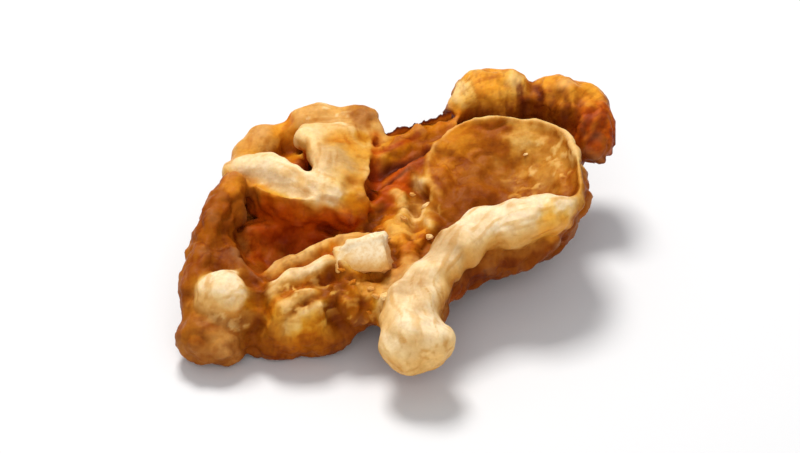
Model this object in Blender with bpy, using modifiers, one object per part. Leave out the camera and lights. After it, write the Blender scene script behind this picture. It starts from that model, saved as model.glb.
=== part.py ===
"""Half a walnut kernel, lying on its outer side with its inner, cut side up.

The half is one seed leaf folded into four lobes round a bridge. It is modelled the way it grew:
cups of flesh for the hollows, walls that stand in them, rolled rims round them, and the winding
folds of the outer side. All of them run into each other and make one solid.

Sizes are in millimetres here and become metres where a mesh is made. X runs across the half, from
the pair of lobes on the left to the pair on the right, Y from its front notch to its back, Z up.
"""

import math

import bmesh
import bpy
from mathutils import Euler, Vector

MM = 0.001

# How finely the folds are joined, and how far their joints are rounded off
VOXEL = 0.42
ROUNDING_PASSES = 7
ROUNDING_SHARE = 0.5
KEPT_FACES = 0.24

# Uneven growth: how far the skin wanders and over what length
UNEVENNESS = 1.3
LUMP_SIZE = 2.6

# The point of the tables below that becomes the origin: the middle of the half's box in plan, at
# the level of the flat spots that it lies on
MIDDLE = (0.18, -0.70, 0.35)

# The block that cuts the flat spots: its side and its height
FLOOR_BLOCK = (50.0, 4.0)

# Rolled rims and ridges of the inner side. Each point is x, y, z and the ridge's radius there.
INNER_RIDGES = {
    "left_rim": [
        (-12.4, 2.4, 8.4, 1.1), (-13.5, -0.6, 7.3, 1.6), (-14.7, -3.2, 6.1, 1.6),
        (-15.0, -6.4, 4.7, 1.7), (-15.0, -8.6, 3.4, 1.6), (-15.2, -10.4, 2.3, 1.9),
    ],
    "hollow_front_rim": [
        (-12.2, -7.0, 4.4, 1.2), (-10.2, -7.2, 5.0, 0.8), (-8.6, -6.1, 6.1, 0.8), (-5.8, -5.3, 6.8, 0.8),
        (-3.6, -4.9, 6.9, 1.0), (-1.6, -5.2, 6.3, 1.5),
    ],
    "front_left_crest": [
        (-11.0, -9.6, 4.1, 0.9), (-9.8, -9.2, 5.0, 0.9), (-7.9, -7.9, 5.9, 1.0), (-5.7, -6.9, 6.4, 1.0),
        (-3.7, -6.7, 6.5, 1.1),
    ],
    "hollow_divider": [
        (-12.5, 3.7, 8.6, 1.0), (-10.4, 3.4, 8.7, 1.0), (-8.3, 2.1, 8.7, 0.9), (-5.9, 0.8, 8.6, 0.9),
        (-4.2, 0.3, 8.0, 0.9),
    ],
    "branch_edge": [
        (-7.8, 6.6, 9.6, 0.7), (-6.5, 5.6, 9.3, 0.9), (-5.8, 3.6, 9.0, 1.0), (-5.7, 1.8, 8.8, 1.1),
    ],
    "left_back_rim": [
        (-12.3, 2.8, 8.2, 1.1), (-12.0, 5.4, 7.4, 1.4), (-10.7, 8.2, 7.4, 1.6), (-9.0, 9.3, 7.6, 1.2),
        (-7.0, 9.9, 8.5, 1.5), (-4.6, 9.9, 8.7, 1.5), (-2.8, 9.4, 8.4, 1.5), (-1.9, 7.5, 7.8, 1.3),
    ],
    "front_right_ridge": [
        (13.9, -1.9, 9.2, 0.9), (11.8, -2.7, 8.6, 1.7), (9.2, -3.2, 8.1, 2.1), (7.0, -3.6, 7.9, 1.8),
        (5.0, -5.0, 7.4, 1.7), (3.0, -7.4, 6.6, 1.8), (1.4, -9.8, 5.8, 2.1), (1.0, -11.8, 5.2, 2.3),
        (1.2, -13.4, 4.7, 2.4),
    ],
    "right_lip": [
        (2.6, 5.0, 8.7, 0.45), (3.6, 6.7, 9.4, 0.45), (5.5, 7.9, 10.1, 0.45), (8.3, 8.0, 10.4, 0.5),
        (11.1, 7.1, 10.6, 0.5), (13.0, 5.4, 10.6, 0.5), (13.9, 2.5, 10.4, 0.5), (14.1, -0.6, 9.7, 0.6),
        (13.9, -1.9, 9.3, 0.8),
    ],
    "right_hollow_edge": [
        (2.9, 6.2, 8.9, 0.45), (2.2, 4.6, 8.1, 0.6), (2.4, 2.8, 7.6, 0.6), (3.3, 1.0, 7.4, 0.5),
        (4.6, -0.6, 7.1, 0.4),
    ],
    "web_rib_upper": [(-2.4, 5.2, 7.6, 1.1), (0.0, 6.9, 8.2, 0.9), (2.2, 8.2, 9.0, 0.8)],
    "web_rib_lower": [(-1.6, 2.4, 6.6, 1.1), (0.4, 4.0, 7.1, 1.0), (2.4, 5.6, 8.0, 0.8)],
    "right_back_roll": [
        (4.4, 10.5, 8.4, 1.3), (5.6, 11.6, 9.0, 1.9), (8.2, 12.3, 9.4, 2.3), (10.6, 12.1, 9.1, 1.9),
        (13.2, 11.8, 9.2, 2.3), (15.3, 10.3, 8.5, 2.1), (15.7, 8.7, 7.6, 1.8),
        (15.3, 7.4, 6.7, 1.2),
    ],
}

# Winding folds of the outer side
OUTER_FOLDS = {
    "midline": [(0.2, -8.2, 3.8, 1.7), (-0.6, -4.0, 2.8, 1.7), (0.4, 1.0, 2.6, 1.8), (0.6, 6.4, 3.4, 1.7)],
    "left_1": [
        (-14.8, -10.0, 2.2, 1.9), (-12.2, -9.6, 2.9, 1.5), (-9.6, -9.8, 2.3, 1.9), (-6.4, -9.4, 2.3, 2.0),
        (-3.8, -8.2, 3.4, 1.9), (-2.0, -5.8, 3.4, 1.8),
    ],
    "left_2": [
        (-14.4, -5.8, 3.4, 1.8), (-12.6, -4.0, 2.2, 1.8), (-10.0, -5.6, 1.9, 1.7), (-7.6, -5.2, 1.8, 1.7),
        (-6.2, -2.8, 1.8, 1.7), (-3.4, -2.8, 2.2, 1.8),
    ],
    "left_3": [
        (-13.6, -1.6, 4.6, 1.7), (-12.0, 0.8, 3.0, 1.7), (-9.6, -0.6, 2.0, 1.8), (-8.0, 1.8, 1.8, 1.8),
        (-5.4, 0.8, 1.8, 1.7), (-4.6, 3.2, 2.2, 1.7), (-1.6, 3.0, 2.4, 1.7),
    ],
    "left_4": [
        (-12.0, 4.6, 5.2, 1.6), (-10.6, 4.4, 3.2, 1.8), (-8.4, 5.6, 2.3, 1.9), (-6.2, 5.0, 2.2, 1.8),
        (-5.0, 7.2, 3.2, 1.8), (-2.6, 6.2, 3.2, 1.7), (-0.6, 6.8, 3.6, 1.6),
    ],
    "left_5": [
        (-11.2, 7.2, 5.8, 1.7), (-8.8, 8.4, 5.0, 1.8), (-6.2, 9.0, 5.2, 1.9), (-3.6, 9.0, 5.4, 1.9),
        (-1.8, 7.4, 5.6, 1.6),
    ],
    "right_1": [
        (1.2, -13.0, 3.8, 2.0), (2.0, -10.4, 4.2, 1.7), (2.4, -7.4, 5.0, 1.7), (4.4, -4.6, 5.6, 1.6),
        (7.2, -3.6, 5.4, 1.8), (9.4, -2.4, 5.4, 1.9), (12.0, -1.8, 6.6, 1.6),
    ],
    "right_2": [
        (0.8, -4.2, 3.0, 1.7), (3.2, -2.6, 3.0, 1.7), (5.0, 0.2, 2.8, 1.7), (7.6, -0.6, 3.2, 1.8),
        (9.2, 0.8, 3.0, 1.8), (11.6, 0.2, 4.6, 1.8), (12.4, -0.2, 6.6, 1.5),
    ],
    "right_3": [
        (1.4, 0.6, 2.6, 1.7), (3.8, 1.4, 2.0, 1.8), (5.6, 3.6, 1.8, 1.8), (8.0, 2.8, 1.9, 1.9),
        (10.2, 4.4, 2.4, 1.8), (11.8, 3.2, 4.2, 1.8), (12.6, 2.6, 6.8, 1.6),
    ],
    "right_4": [
        (1.6, 5.6, 3.2, 1.6), (3.8, 6.8, 2.8, 1.8), (6.0, 6.4, 2.0, 1.9), (8.2, 7.6, 2.1, 1.9),
        (10.6, 7.4, 3.4, 1.8), (12.4, 6.6, 4.8, 1.8), (13.8, 8.0, 6.2, 1.6),
    ],
    "right_5": [
        (4.4, 9.6, 5.6, 1.7), (6.6, 10.8, 5.0, 1.9), (9.0, 10.6, 5.0, 1.9), (11.4, 11.2, 6.0, 1.9),
        (13.8, 10.6, 6.4, 1.8),
    ],
}

# Open cups of flesh. Each is its centre, its half-axes, how far up it is open, its thickness and
# its turn about X and Y in degrees.
CUPS = {
    "left_shell": ((-8.0, -0.4, 7.4), (7.2, 10.2, 5.9), -0.25, 1.8, (0, 3)),
    "left_front_cup": ((-8.6, -3.4, 6.8), (6.4, 5.6, 5.2), -0.35, 1.8, (0, 4)),
    "left_back_cup": ((-7.2, 4.8, 7.6), (5.4, 5.4, 5.0), 0.1, 1.8, (-6, 2)),
    "right_shell": ((7.6, 4.6, 8.6), (6.4, 7.8, 7.2), -0.2, 1.8, (4, -4)),
}

# Walls that stand up from the cups to a ridge: pairs of an upper and a lower edge point
WALLS = {
    "divider_wall": (
        1.4,
        [((-12.2, 2.6, 8.4), (-11.4, 3.4, 3.8)), ((-8.6, 1.5, 8.6), (-8.6, 3.4, 3.0)),
         ((-6.0, 0.1, 8.4), (-6.2, 2.6, 2.6)), ((-3.4, -0.4, 7.4), (-2.6, 0.8, 2.6))],
    ),
    "branch_wall": (
        2.4,
        [((-4.0, -0.6, 7.2), (-2.6, -0.4, 2.4)), ((-4.2, 2.0, 8.2), (-2.6, 2.8, 2.6)),
         ((-4.6, 5.4, 8.8), (-2.6, 6.4, 3.4))],
    ),
    "back_web": (
        1.2,
        [((-2.2, 7.8, 8.1), (-2.0, 0.6, 6.2)), ((0.6, 8.6, 8.4), (0.2, 0.8, 6.0)),
         ((3.0, 9.2, 8.9), (2.2, 1.8, 6.4)), ((5.2, 9.9, 9.4), (3.6, 5.4, 7.4))],
    ),
    "right_back_wall": (
        2.4,
        [((4.8, 10.8, 8.0), (4.0, 8.6, 3.8)), ((8.2, 12.0, 8.4), (7.4, 9.2, 3.4)),
         ((12.2, 11.6, 8.2), (11.2, 8.8, 4.0)), ((15.2, 9.4, 7.2), (13.2, 6.8, 4.2))],
    ),
    "front_right_wall": (
        2.0,
        [((13.2, -1.8, 8.4), (11.2, -0.8, 5.2)), ((9.2, -3.2, 7.4), (8.2, -2.2, 4.0)),
         ((5.6, -4.6, 6.8), (5.0, -4.2, 3.2)), ((3.0, -8.2, 6.0), (2.8, -8.0, 3.6)),
         ((1.2, -12.0, 5.0), (1.4, -11.6, 4.0))],
    ),
}

# Sheets of flesh laid over a coarse cage, one row of points from left to right after another
SHEETS = {
    "divider_top": (
        0.9,
        [
            [(-12.6, 4.1, 9.5), (-10.3, 4.3, 9.7), (-8.2, 2.8, 9.7), (-6.2, 1.4, 9.7), (-4.4, 1.0, 9.5)],
            [(-12.9, 3.6, 9.4), (-10.4, 3.3, 9.6), (-8.3, 1.9, 9.6), (-6.2, 0.5, 9.5), (-4.5, 0.2, 9.2)],
            [(-12.8, 3.1, 8.9), (-10.5, 2.4, 9.0), (-8.3, 1.1, 9.0), (-6.1, -0.3, 8.9), (-4.7, -0.5, 8.6)],
        ],
    ),
    "branch_top": (
        2.4,
        [
            [(-7.8, 7.6, 9.8), (-5.2, 8.3, 10.0), (-2.0, 8.2, 9.2)],
            [(-6.6, 5.2, 9.9), (-4.2, 4.9, 9.8), (-1.9, 5.4, 9.0)],
            [(-6.2, 2.4, 9.7), (-4.1, 1.8, 9.7), (-1.9, 2.6, 8.8)],
            [(-5.8, 1.0, 9.4), (-4.3, 0.7, 9.2), (-2.7, 1.2, 8.4)],
        ],
    ),
    "right_hollow": (
        1.9,
        [
            [(1.4, 6.6, 8.6), (3.4, 6.3, 9.3), (5.7, 7.4, 9.8), (8.4, 7.5, 10.0), (11.0, 6.6, 10.2), (12.9, 5.0, 10.2)],
            [(1.2, 4.4, 7.0), (2.8, 4.0, 8.5), (5.4, 4.6, 8.4), (8.6, 4.6, 8.2), (11.3, 3.8, 8.7), (13.6, 2.4, 10.0)],
            [(1.2, 1.6, 6.3), (2.9, 1.2, 7.6), (5.2, 1.0, 7.7), (8.6, 1.0, 7.4), (11.5, 0.8, 8.0), (13.8, -0.4, 9.5)],
            [(1.2, -1.8, 6.2), (3.4, -2.0, 6.8), (6.0, -2.8, 7.0), (8.8, -2.6, 7.1), (11.4, -2.4, 7.6), (13.4, -2.0, 8.6)],
        ],
    ),
    "bridge_floor": (
        3.0,
        [
            [(-2.6, 6.6, 7.0), (0.2, 6.8, 7.2), (3.4, 7.0, 7.8)],
            [(-2.6, 1.6, 6.2), (0.2, 1.6, 6.0), (3.0, 1.6, 6.8)],
            [(-3.0, -2.6, 6.2), (0.2, -3.2, 5.7), (3.4, -2.6, 6.4)],
            [(-3.0, -6.4, 5.6), (-0.4, -7.4, 5.0), (2.6, -7.4, 5.2)],
        ],
    ),
}

# Solid lumps of flesh: centre and half-axes
LUMPS = {
    "bridge": ((0.4, -1.8, 4.4), (4.2, 4.6, 2.4)),
    "front_left_knob": ((-13.2, -8.6, 4.6), (2.5, 2.2, 2.7)),
    "heel": ((-14.0, -10.6, 2.6), (2.9, 2.0, 2.1)),
    "front_left_valley": ((-10.8, -8.2, 3.2), (1.4, 1.5, 1.8)),
    "front_left_body": ((-7.7, -9.4, 3.3), (3.5, 2.7, 3.1)),
    "front_left_inner_body": ((-3.6, -8.2, 4.4), (2.6, 2.5, 2.6)),
    "front_middle": ((0.2, -7.6, 4.5), (3.2, 3.6, 2.4)),
    "front_right_knob": ((1.3, -13.9, 4.6), (2.9, 2.3, 2.5)),
    "divider_joint": ((-3.7, 1.0, 7.3), (1.6, 1.5, 1.5)),
    "small_hollow_floor": ((-8.6, 6.0, 5.4), (2.4, 3.2, 2.3)),
    "back_lobe_left": ((7.5, 12.2, 9.0), (3.6, 2.5, 2.8)),
    "back_lobe_right": ((13.9, 11.5, 8.5), (3.2, 2.6, 2.8)),
    "back_rim_lump": ((-3.0, 9.8, 8.8), (1.6, 1.4, 1.3)),
}

# Broken pieces with flat faces: centre, half-axes, and turn about X and Y in degrees
BLOCKS = {
    "broken_nub": ((-2.7, -6.1, 7.2), (2.1, 1.4, 1.2), (-34, -11)),
}


def catmull_rom(points, steps):
    """Points on a smooth curve through the given ones, with every number of each blended alike."""
    padded = [points[0], *points, points[-1]]
    found = []
    for i in range(len(points) - 1):
        p0, p1, p2, p3 = padded[i : i + 4]
        for k in range(steps):
            t = k / steps
            weights = (
                0.5 * (2 * t**2 - t - t**3), 0.5 * (2 - 5 * t**2 + 3 * t**3),
                0.5 * (t + 4 * t**2 - 3 * t**3), 0.5 * (t**3 - t**2),
            )
            found.append(tuple(sum(w * n for w, n in zip(weights, four)) for four in zip(p0, p1, p2, p3)))
    found.append(tuple(points[-1]))
    return found


def mesh_of(curve_object):
    """A closed mesh of a curve object, in place of it."""
    bpy.context.view_layer.update()
    graph = bpy.context.evaluated_depsgraph_get()
    mesh = bpy.data.meshes.new_from_object(curve_object.evaluated_get(graph))
    name = curve_object.name
    collection = curve_object.users_collection[0]
    matrix = curve_object.matrix_world.copy()
    bpy.data.objects.remove(curve_object)
    shape = bmesh.new()
    shape.from_mesh(mesh)
    bmesh.ops.remove_doubles(shape, verts=shape.verts, dist=1e-6)
    shape.to_mesh(mesh)
    shape.free()
    made = bpy.data.objects.new(name, mesh)
    made.matrix_world = matrix
    collection.objects.link(made)
    return made


def ridge(name, points, collection):
    """A round ridge along a smooth path, as thick at each point as the point says."""
    curve = bpy.data.curves.new(name, "CURVE")
    curve.dimensions = "3D"
    curve.bevel_depth = MM
    curve.bevel_resolution = 3
    curve.use_fill_caps = True
    path = catmull_rom(points, steps=4)
    spline = curve.splines.new("POLY")
    spline.points.add(len(path) - 1)
    for point, (x, y, z, radius) in zip(spline.points, path):
        point.co = (x * MM, y * MM, z * MM, 1)
        point.radius = radius
    made = bpy.data.objects.new(name, curve)
    collection.objects.link(made)
    return mesh_of(made)


def lump(name, centre, half_axes, collection):
    """A solid ellipsoid."""
    mesh = bpy.data.meshes.new(name)
    shape = bmesh.new()
    bmesh.ops.create_uvsphere(shape, u_segments=20, v_segments=12, radius=1)
    bmesh.ops.scale(shape, vec=[a * MM for a in half_axes], verts=shape.verts)
    bmesh.ops.translate(shape, vec=[c * MM for c in centre], verts=shape.verts)
    shape.to_mesh(mesh)
    shape.free()
    made = bpy.data.objects.new(name, mesh)
    collection.objects.link(made)
    return made


def block(name, centre, half_axes, turn, collection):
    """A broken piece with flat faces."""
    mesh = bpy.data.meshes.new(name)
    shape = bmesh.new()
    bmesh.ops.create_cube(shape, size=2)
    bmesh.ops.scale(shape, vec=[a * MM for a in half_axes], verts=shape.verts)
    shape.to_mesh(mesh)
    shape.free()
    made = bpy.data.objects.new(name, mesh)
    made.location = Vector(centre) * MM
    made.rotation_euler = Euler((math.radians(turn[0]), math.radians(turn[1]), 0))
    collection.objects.link(made)
    return made


def cup(name, centre, half_axes, open_above, thickness, turn, collection):
    """The lower part of an ellipsoid's skin, thickened inwards."""
    mesh = bpy.data.meshes.new(name)
    shape = bmesh.new()
    bmesh.ops.create_uvsphere(shape, u_segments=28, v_segments=20, radius=1)
    above = [v for v in shape.verts if v.co.z > open_above]
    bmesh.ops.delete(shape, geom=above, context="VERTS")
    bmesh.ops.scale(shape, vec=[a * MM for a in half_axes], verts=shape.verts)
    shape.to_mesh(mesh)
    shape.free()
    made = bpy.data.objects.new(name, mesh)
    made.location = Vector(centre) * MM
    made.rotation_euler = Euler((math.radians(turn[0]), math.radians(turn[1]), 0))
    collection.objects.link(made)
    thicken = made.modifiers.new("flesh", "SOLIDIFY")
    thicken.thickness = thickness * MM
    thicken.offset = -1
    return made


def wall(name, thickness, pairs, collection):
    """A standing sheet of flesh between an upper and a lower edge."""
    mesh = bpy.data.meshes.new(name)
    shape = bmesh.new()
    upper = catmull_rom([p[0] for p in pairs], steps=3)
    lower = catmull_rom([p[1] for p in pairs], steps=3)
    rows = [
        [shape.verts.new((Vector(a).lerp(Vector(b), t / 3)) * MM) for t in range(4)]
        for a, b in zip(upper, lower)
    ]
    for left, right in zip(rows, rows[1:]):
        for k in range(3):
            shape.faces.new((left[k], left[k + 1], right[k + 1], right[k]))
    shape.to_mesh(mesh)
    shape.free()
    made = bpy.data.objects.new(name, mesh)
    collection.objects.link(made)
    thicken = made.modifiers.new("flesh", "SOLIDIFY")
    thicken.thickness = thickness * MM
    thicken.offset = 0
    return made


def sheet(name, thickness, rows, collection):
    """A soft sheet of flesh over a coarse cage of points, thickened downwards."""
    mesh = bpy.data.meshes.new(name)
    shape = bmesh.new()
    cage = [[shape.verts.new(Vector(point) * MM) for point in row] for row in rows]
    for back, front in zip(cage, cage[1:]):
        for k in range(len(back) - 1):
            shape.faces.new((back[k], front[k], front[k + 1], back[k + 1]))
    shape.to_mesh(mesh)
    shape.free()
    made = bpy.data.objects.new(name, mesh)
    collection.objects.link(made)
    soften = made.modifiers.new("soft", "SUBSURF")
    soften.levels = soften.render_levels = 2
    thicken = made.modifiers.new("flesh", "SOLIDIFY")
    thicken.thickness = thickness * MM
    thicken.offset = -1
    return made


def joined(name, pieces, collection):
    """One object that holds the pieces' meshes, still passing through each other."""
    bpy.context.view_layer.update()
    graph = bpy.context.evaluated_depsgraph_get()
    shape = bmesh.new()
    for piece in pieces:
        mesh = bpy.data.meshes.new_from_object(piece.evaluated_get(graph))
        mesh.transform(piece.matrix_world)
        shape.from_mesh(mesh)
        bpy.data.meshes.remove(mesh)
    mesh = bpy.data.meshes.new(name)
    shape.to_mesh(mesh)
    shape.free()
    for piece in pieces:
        bpy.data.objects.remove(piece)
    made = bpy.data.objects.new(name, mesh)
    collection.objects.link(made)
    return made


def lumpiness():
    """Soft noise that keeps any fold from being a plain tube."""
    clouds = bpy.data.textures.new("lumps", "CLOUDS")
    clouds.noise_scale = LUMP_SIZE * MM
    clouds.noise_depth = 1
    clouds.noise_basis = "ORIGINAL_PERLIN"
    return clouds


def grow_together(kernel):
    """Runs the folds into one skin, rounds where they meet, and keeps as many faces as the shape needs."""
    fuse = kernel.modifiers.new("grown_together", "REMESH")
    fuse.mode = "VOXEL"
    fuse.voxel_size = VOXEL * MM
    uneven = kernel.modifiers.new("uneven", "DISPLACE")
    uneven.texture = lumpiness()
    uneven.texture_coords = "LOCAL"
    uneven.strength = UNEVENNESS * MM
    uneven.mid_level = 0.5
    round_off = kernel.modifiers.new("rounded", "SMOOTH")
    round_off.factor = ROUNDING_SHARE
    round_off.iterations = ROUNDING_PASSES
    thin = kernel.modifiers.new("fewer_faces", "DECIMATE")
    thin.ratio = KEPT_FACES
    thin.use_collapse_triangulate = True


def floor_block(collection):
    """A block under the level that the half lies on, hidden: it only cuts."""
    side, height = FLOOR_BLOCK
    mesh = bpy.data.meshes.new("floor_block")
    shape = bmesh.new()
    bmesh.ops.create_cube(shape, size=1)
    bmesh.ops.scale(shape, vec=(side * MM, side * MM, height * MM), verts=shape.verts)
    bmesh.ops.translate(shape, vec=(0, 0, -height * MM / 2), verts=shape.verts)
    shape.to_mesh(mesh)
    shape.free()
    block = bpy.data.objects.new("floor_block", mesh)
    block.hide_render = True
    block.display_type = "WIRE"
    collection.objects.link(block)
    return block


def flatten_feet(kernel, block):
    """Cuts the lowest folds flat, so that the half lies still."""
    cut = kernel.modifiers.new("flat_spots", "BOOLEAN")
    cut.operation = "DIFFERENCE"
    cut.solver = "EXACT"
    cut.object = block


def flesh_material():
    material = bpy.data.materials.new("walnut_skin")
    material.use_nodes = True
    shader = material.node_tree.nodes["Principled BSDF"]
    shader.inputs["Base Color"].default_value = (0.52, 0.27, 0.09, 1)
    shader.inputs["Roughness"].default_value = 0.5
    shader.inputs["Metallic"].default_value = 0
    return material


def main():
    for old in list(bpy.data.objects):
        bpy.data.objects.remove(old)
    half = bpy.data.collections.new("walnut_half")
    cutters = bpy.data.collections.new("cutters")
    for collection in (half, cutters):
        bpy.context.scene.collection.children.link(collection)
    pieces = []
    for name, points in {**INNER_RIDGES, **OUTER_FOLDS}.items():
        pieces.append(ridge(name, points, half))
    for name, (centre, half_axes, open_above, thickness, turn) in CUPS.items():
        pieces.append(cup(name, centre, half_axes, open_above, thickness, turn, half))
    for name, (thickness, pairs) in WALLS.items():
        pieces.append(wall(name, thickness, pairs, half))
    for name, (thickness, rows) in SHEETS.items():
        pieces.append(sheet(name, thickness, rows, half))
    for name, (centre, half_axes) in LUMPS.items():
        pieces.append(lump(name, centre, half_axes, half))
    for name, (centre, half_axes, turn) in BLOCKS.items():
        pieces.append(block(name, centre, half_axes, turn, half))
    kernel = joined("kernel_half", pieces, half)
    kernel.location = -MM * Vector(MIDDLE)
    grow_together(kernel)
    flatten_feet(kernel, floor_block(cutters))
    kernel.data.materials.append(flesh_material())


main()
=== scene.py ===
"""A walnut half lying on its outer side: folded flesh under a thin papery skin, on a pale stage.

Run it as a script in Blender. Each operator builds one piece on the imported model's frame, and the
main function calls them in order. Shapes are given in millimetres and become metres in a mesh.
"""

import math

import bmesh
import bpy
import numpy as np
from bpy.props import FloatProperty, FloatVectorProperty, PointerProperty
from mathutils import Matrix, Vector


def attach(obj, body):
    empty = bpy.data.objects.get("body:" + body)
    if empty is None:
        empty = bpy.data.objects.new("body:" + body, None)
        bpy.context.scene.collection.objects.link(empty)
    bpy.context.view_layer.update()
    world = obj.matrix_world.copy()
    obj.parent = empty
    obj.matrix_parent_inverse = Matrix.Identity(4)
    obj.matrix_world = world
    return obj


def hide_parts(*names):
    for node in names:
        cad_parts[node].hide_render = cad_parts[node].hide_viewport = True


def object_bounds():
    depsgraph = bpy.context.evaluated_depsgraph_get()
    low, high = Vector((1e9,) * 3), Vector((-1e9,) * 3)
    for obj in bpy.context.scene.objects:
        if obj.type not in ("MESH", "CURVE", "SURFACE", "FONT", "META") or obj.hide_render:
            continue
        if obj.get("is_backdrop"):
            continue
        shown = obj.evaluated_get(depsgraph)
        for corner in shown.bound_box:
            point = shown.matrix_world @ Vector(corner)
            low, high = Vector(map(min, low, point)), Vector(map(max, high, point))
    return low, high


bl_info = {
    "name": "Walnut half",
    "version": (1, 0, 0),
    "blender": (4, 5, 0),
    "location": "View3D > Sidebar > Walnut",
    "description": "Builds a walnut half with its skin, and a pale studio stage",
    "category": "Add Mesh",
}

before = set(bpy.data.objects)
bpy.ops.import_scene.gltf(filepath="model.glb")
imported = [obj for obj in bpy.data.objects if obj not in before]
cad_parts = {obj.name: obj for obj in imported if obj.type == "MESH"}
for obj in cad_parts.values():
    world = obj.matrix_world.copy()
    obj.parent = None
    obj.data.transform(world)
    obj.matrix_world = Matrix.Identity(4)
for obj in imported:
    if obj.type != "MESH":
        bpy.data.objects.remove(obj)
CAD_LOW, CAD_HIGH = (np.array(corner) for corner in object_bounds())
MM = 0.001

# The point of the tables below that lies at the frame's origin
MIDDLE = (0.18, -0.70, 0.35)

# The floor's half side and the point that the lights face, in metres
FLOOR_REACH, LIT_POINT = 1.2, (0, 0, 0.005)

# The soft lights: name, place, size, power as a share of the main light's, and colour
LIGHTS = (
    ("main", (-0.05, 0.13, 0.27), 0.1, 1.0, (1.0, 0.98, 0.95)),
    ("front", (0.0, -0.34, 0.22), 0.3, 0.75, (1.0, 1.0, 1.0)),
)

# The camera's long lens and its sensor's width, in millimetres
LENS, SENSOR = 180, 36

# A direction that none of the paths below runs along
ASKEW = (0.31, 0.52, 0.79)

# How many times the skin is averaged with its neighbours, to round it and to measure its edges, its
# creases and its hollows against
ROUND_PASSES, EDGE_PASSES, CREASE_PASSES, HOLLOW_PASSES = 9, 30, 14, 260

# How far inside the solid's box the points stay, in millimetres, and how near two points count as
# one, in metres
BOX_MARGIN, WELD = 0.002, 1e-7

# How far from a part its skin can reach, and how far apart the grains of two folds are taken, in
# millimetres
PART_REACH, GRAIN_SHIFT = 4, 40

# What noise scatters a cell's corner and a seed with
CELL_PRIMES, SEED_PRIME = np.array([73856093, 19349663, 83492791]), 7919
MIXER, SEED_SHIFT = 1274126177, 7.31

# Rolled rims and ridges of the inner side. Each point is x, y, z and the ridge's radius there.
INNER_RIDGES = {
    "left_rim": [
        (-12.4, 2.4, 8.4, 1.1), (-13.5, -0.6, 7.3, 1.6), (-14.7, -3.2, 6.1, 1.6),
        (-15.0, -6.4, 4.7, 1.7), (-15.0, -8.6, 3.4, 1.6), (-15.2, -10.4, 2.3, 1.9),
    ],
    "hollow_front_rim": [
        (-12.2, -7.0, 4.4, 1.2), (-10.2, -7.2, 5.0, 0.8), (-8.6, -6.1, 6.1, 0.8), (-5.8, -5.3, 6.8, 0.8),
        (-3.6, -4.9, 6.9, 1.0), (-1.6, -5.2, 6.3, 1.5),
    ],
    "front_left_crest": [
        (-11.0, -9.6, 4.1, 0.9), (-9.8, -9.2, 5.0, 0.9), (-7.9, -7.9, 5.9, 1.0), (-5.7, -6.9, 6.4, 1.0),
        (-3.7, -6.7, 6.5, 1.1),
    ],
    "hollow_divider": [
        (-12.5, 3.7, 8.6, 1.0), (-10.4, 3.4, 8.7, 1.0), (-8.3, 2.1, 8.7, 0.9), (-5.9, 0.8, 8.6, 0.9),
        (-4.2, 0.3, 8.0, 0.9),
    ],
    "branch_edge": [
        (-7.8, 6.6, 9.6, 0.7), (-6.5, 5.6, 9.3, 0.9), (-5.8, 3.6, 9.0, 1.0), (-5.7, 1.8, 8.8, 1.1),
    ],
    "left_back_rim": [
        (-12.3, 2.8, 8.2, 1.1), (-12.0, 5.4, 7.4, 1.4), (-10.7, 8.2, 7.4, 1.6), (-9.0, 9.3, 7.6, 1.2),
        (-7.0, 9.9, 8.5, 1.5), (-4.6, 9.9, 8.7, 1.5), (-2.8, 9.4, 8.4, 1.5), (-1.9, 7.5, 7.8, 1.3),
    ],
    "front_right_ridge": [
        (13.9, -1.9, 9.2, 0.9), (11.8, -2.7, 8.6, 1.7), (9.2, -3.2, 8.1, 2.1), (7.0, -3.6, 7.9, 1.8),
        (5.0, -5.0, 7.4, 1.7), (3.0, -7.4, 6.6, 1.8), (1.4, -9.8, 5.8, 2.1), (1.0, -11.8, 5.2, 2.3),
        (1.2, -13.4, 4.7, 2.4),
    ],
    "right_lip": [
        (2.6, 5.0, 8.7, 0.45), (3.6, 6.7, 9.4, 0.45), (5.5, 7.9, 10.1, 0.45), (8.3, 8.0, 10.4, 0.5),
        (11.1, 7.1, 10.6, 0.5), (13.0, 5.4, 10.6, 0.5), (13.9, 2.5, 10.4, 0.5), (14.1, -0.6, 9.7, 0.6),
        (13.9, -1.9, 9.3, 0.8),
    ],
    "right_hollow_edge": [
        (2.9, 6.2, 8.9, 0.45), (2.2, 4.6, 8.1, 0.6), (2.4, 2.8, 7.6, 0.6), (3.3, 1.0, 7.4, 0.5),
        (4.6, -0.6, 7.1, 0.4),
    ],
    "web_rib_upper": [(-2.4, 5.2, 7.6, 1.1), (0.0, 6.9, 8.2, 0.9), (2.2, 8.2, 9.0, 0.8)],
    "web_rib_lower": [(-1.6, 2.4, 6.6, 1.1), (0.4, 4.0, 7.1, 1.0), (2.4, 5.6, 8.0, 0.8)],
    "right_back_roll": [
        (4.4, 10.5, 8.4, 1.3), (5.6, 11.6, 9.0, 1.9), (8.2, 12.3, 9.4, 2.3), (10.6, 12.1, 9.1, 1.9),
        (13.2, 11.8, 9.2, 2.3), (15.3, 10.3, 8.5, 2.1), (15.7, 8.7, 7.6, 1.8),
        (15.3, 7.4, 6.7, 1.2),
    ],
}

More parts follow.
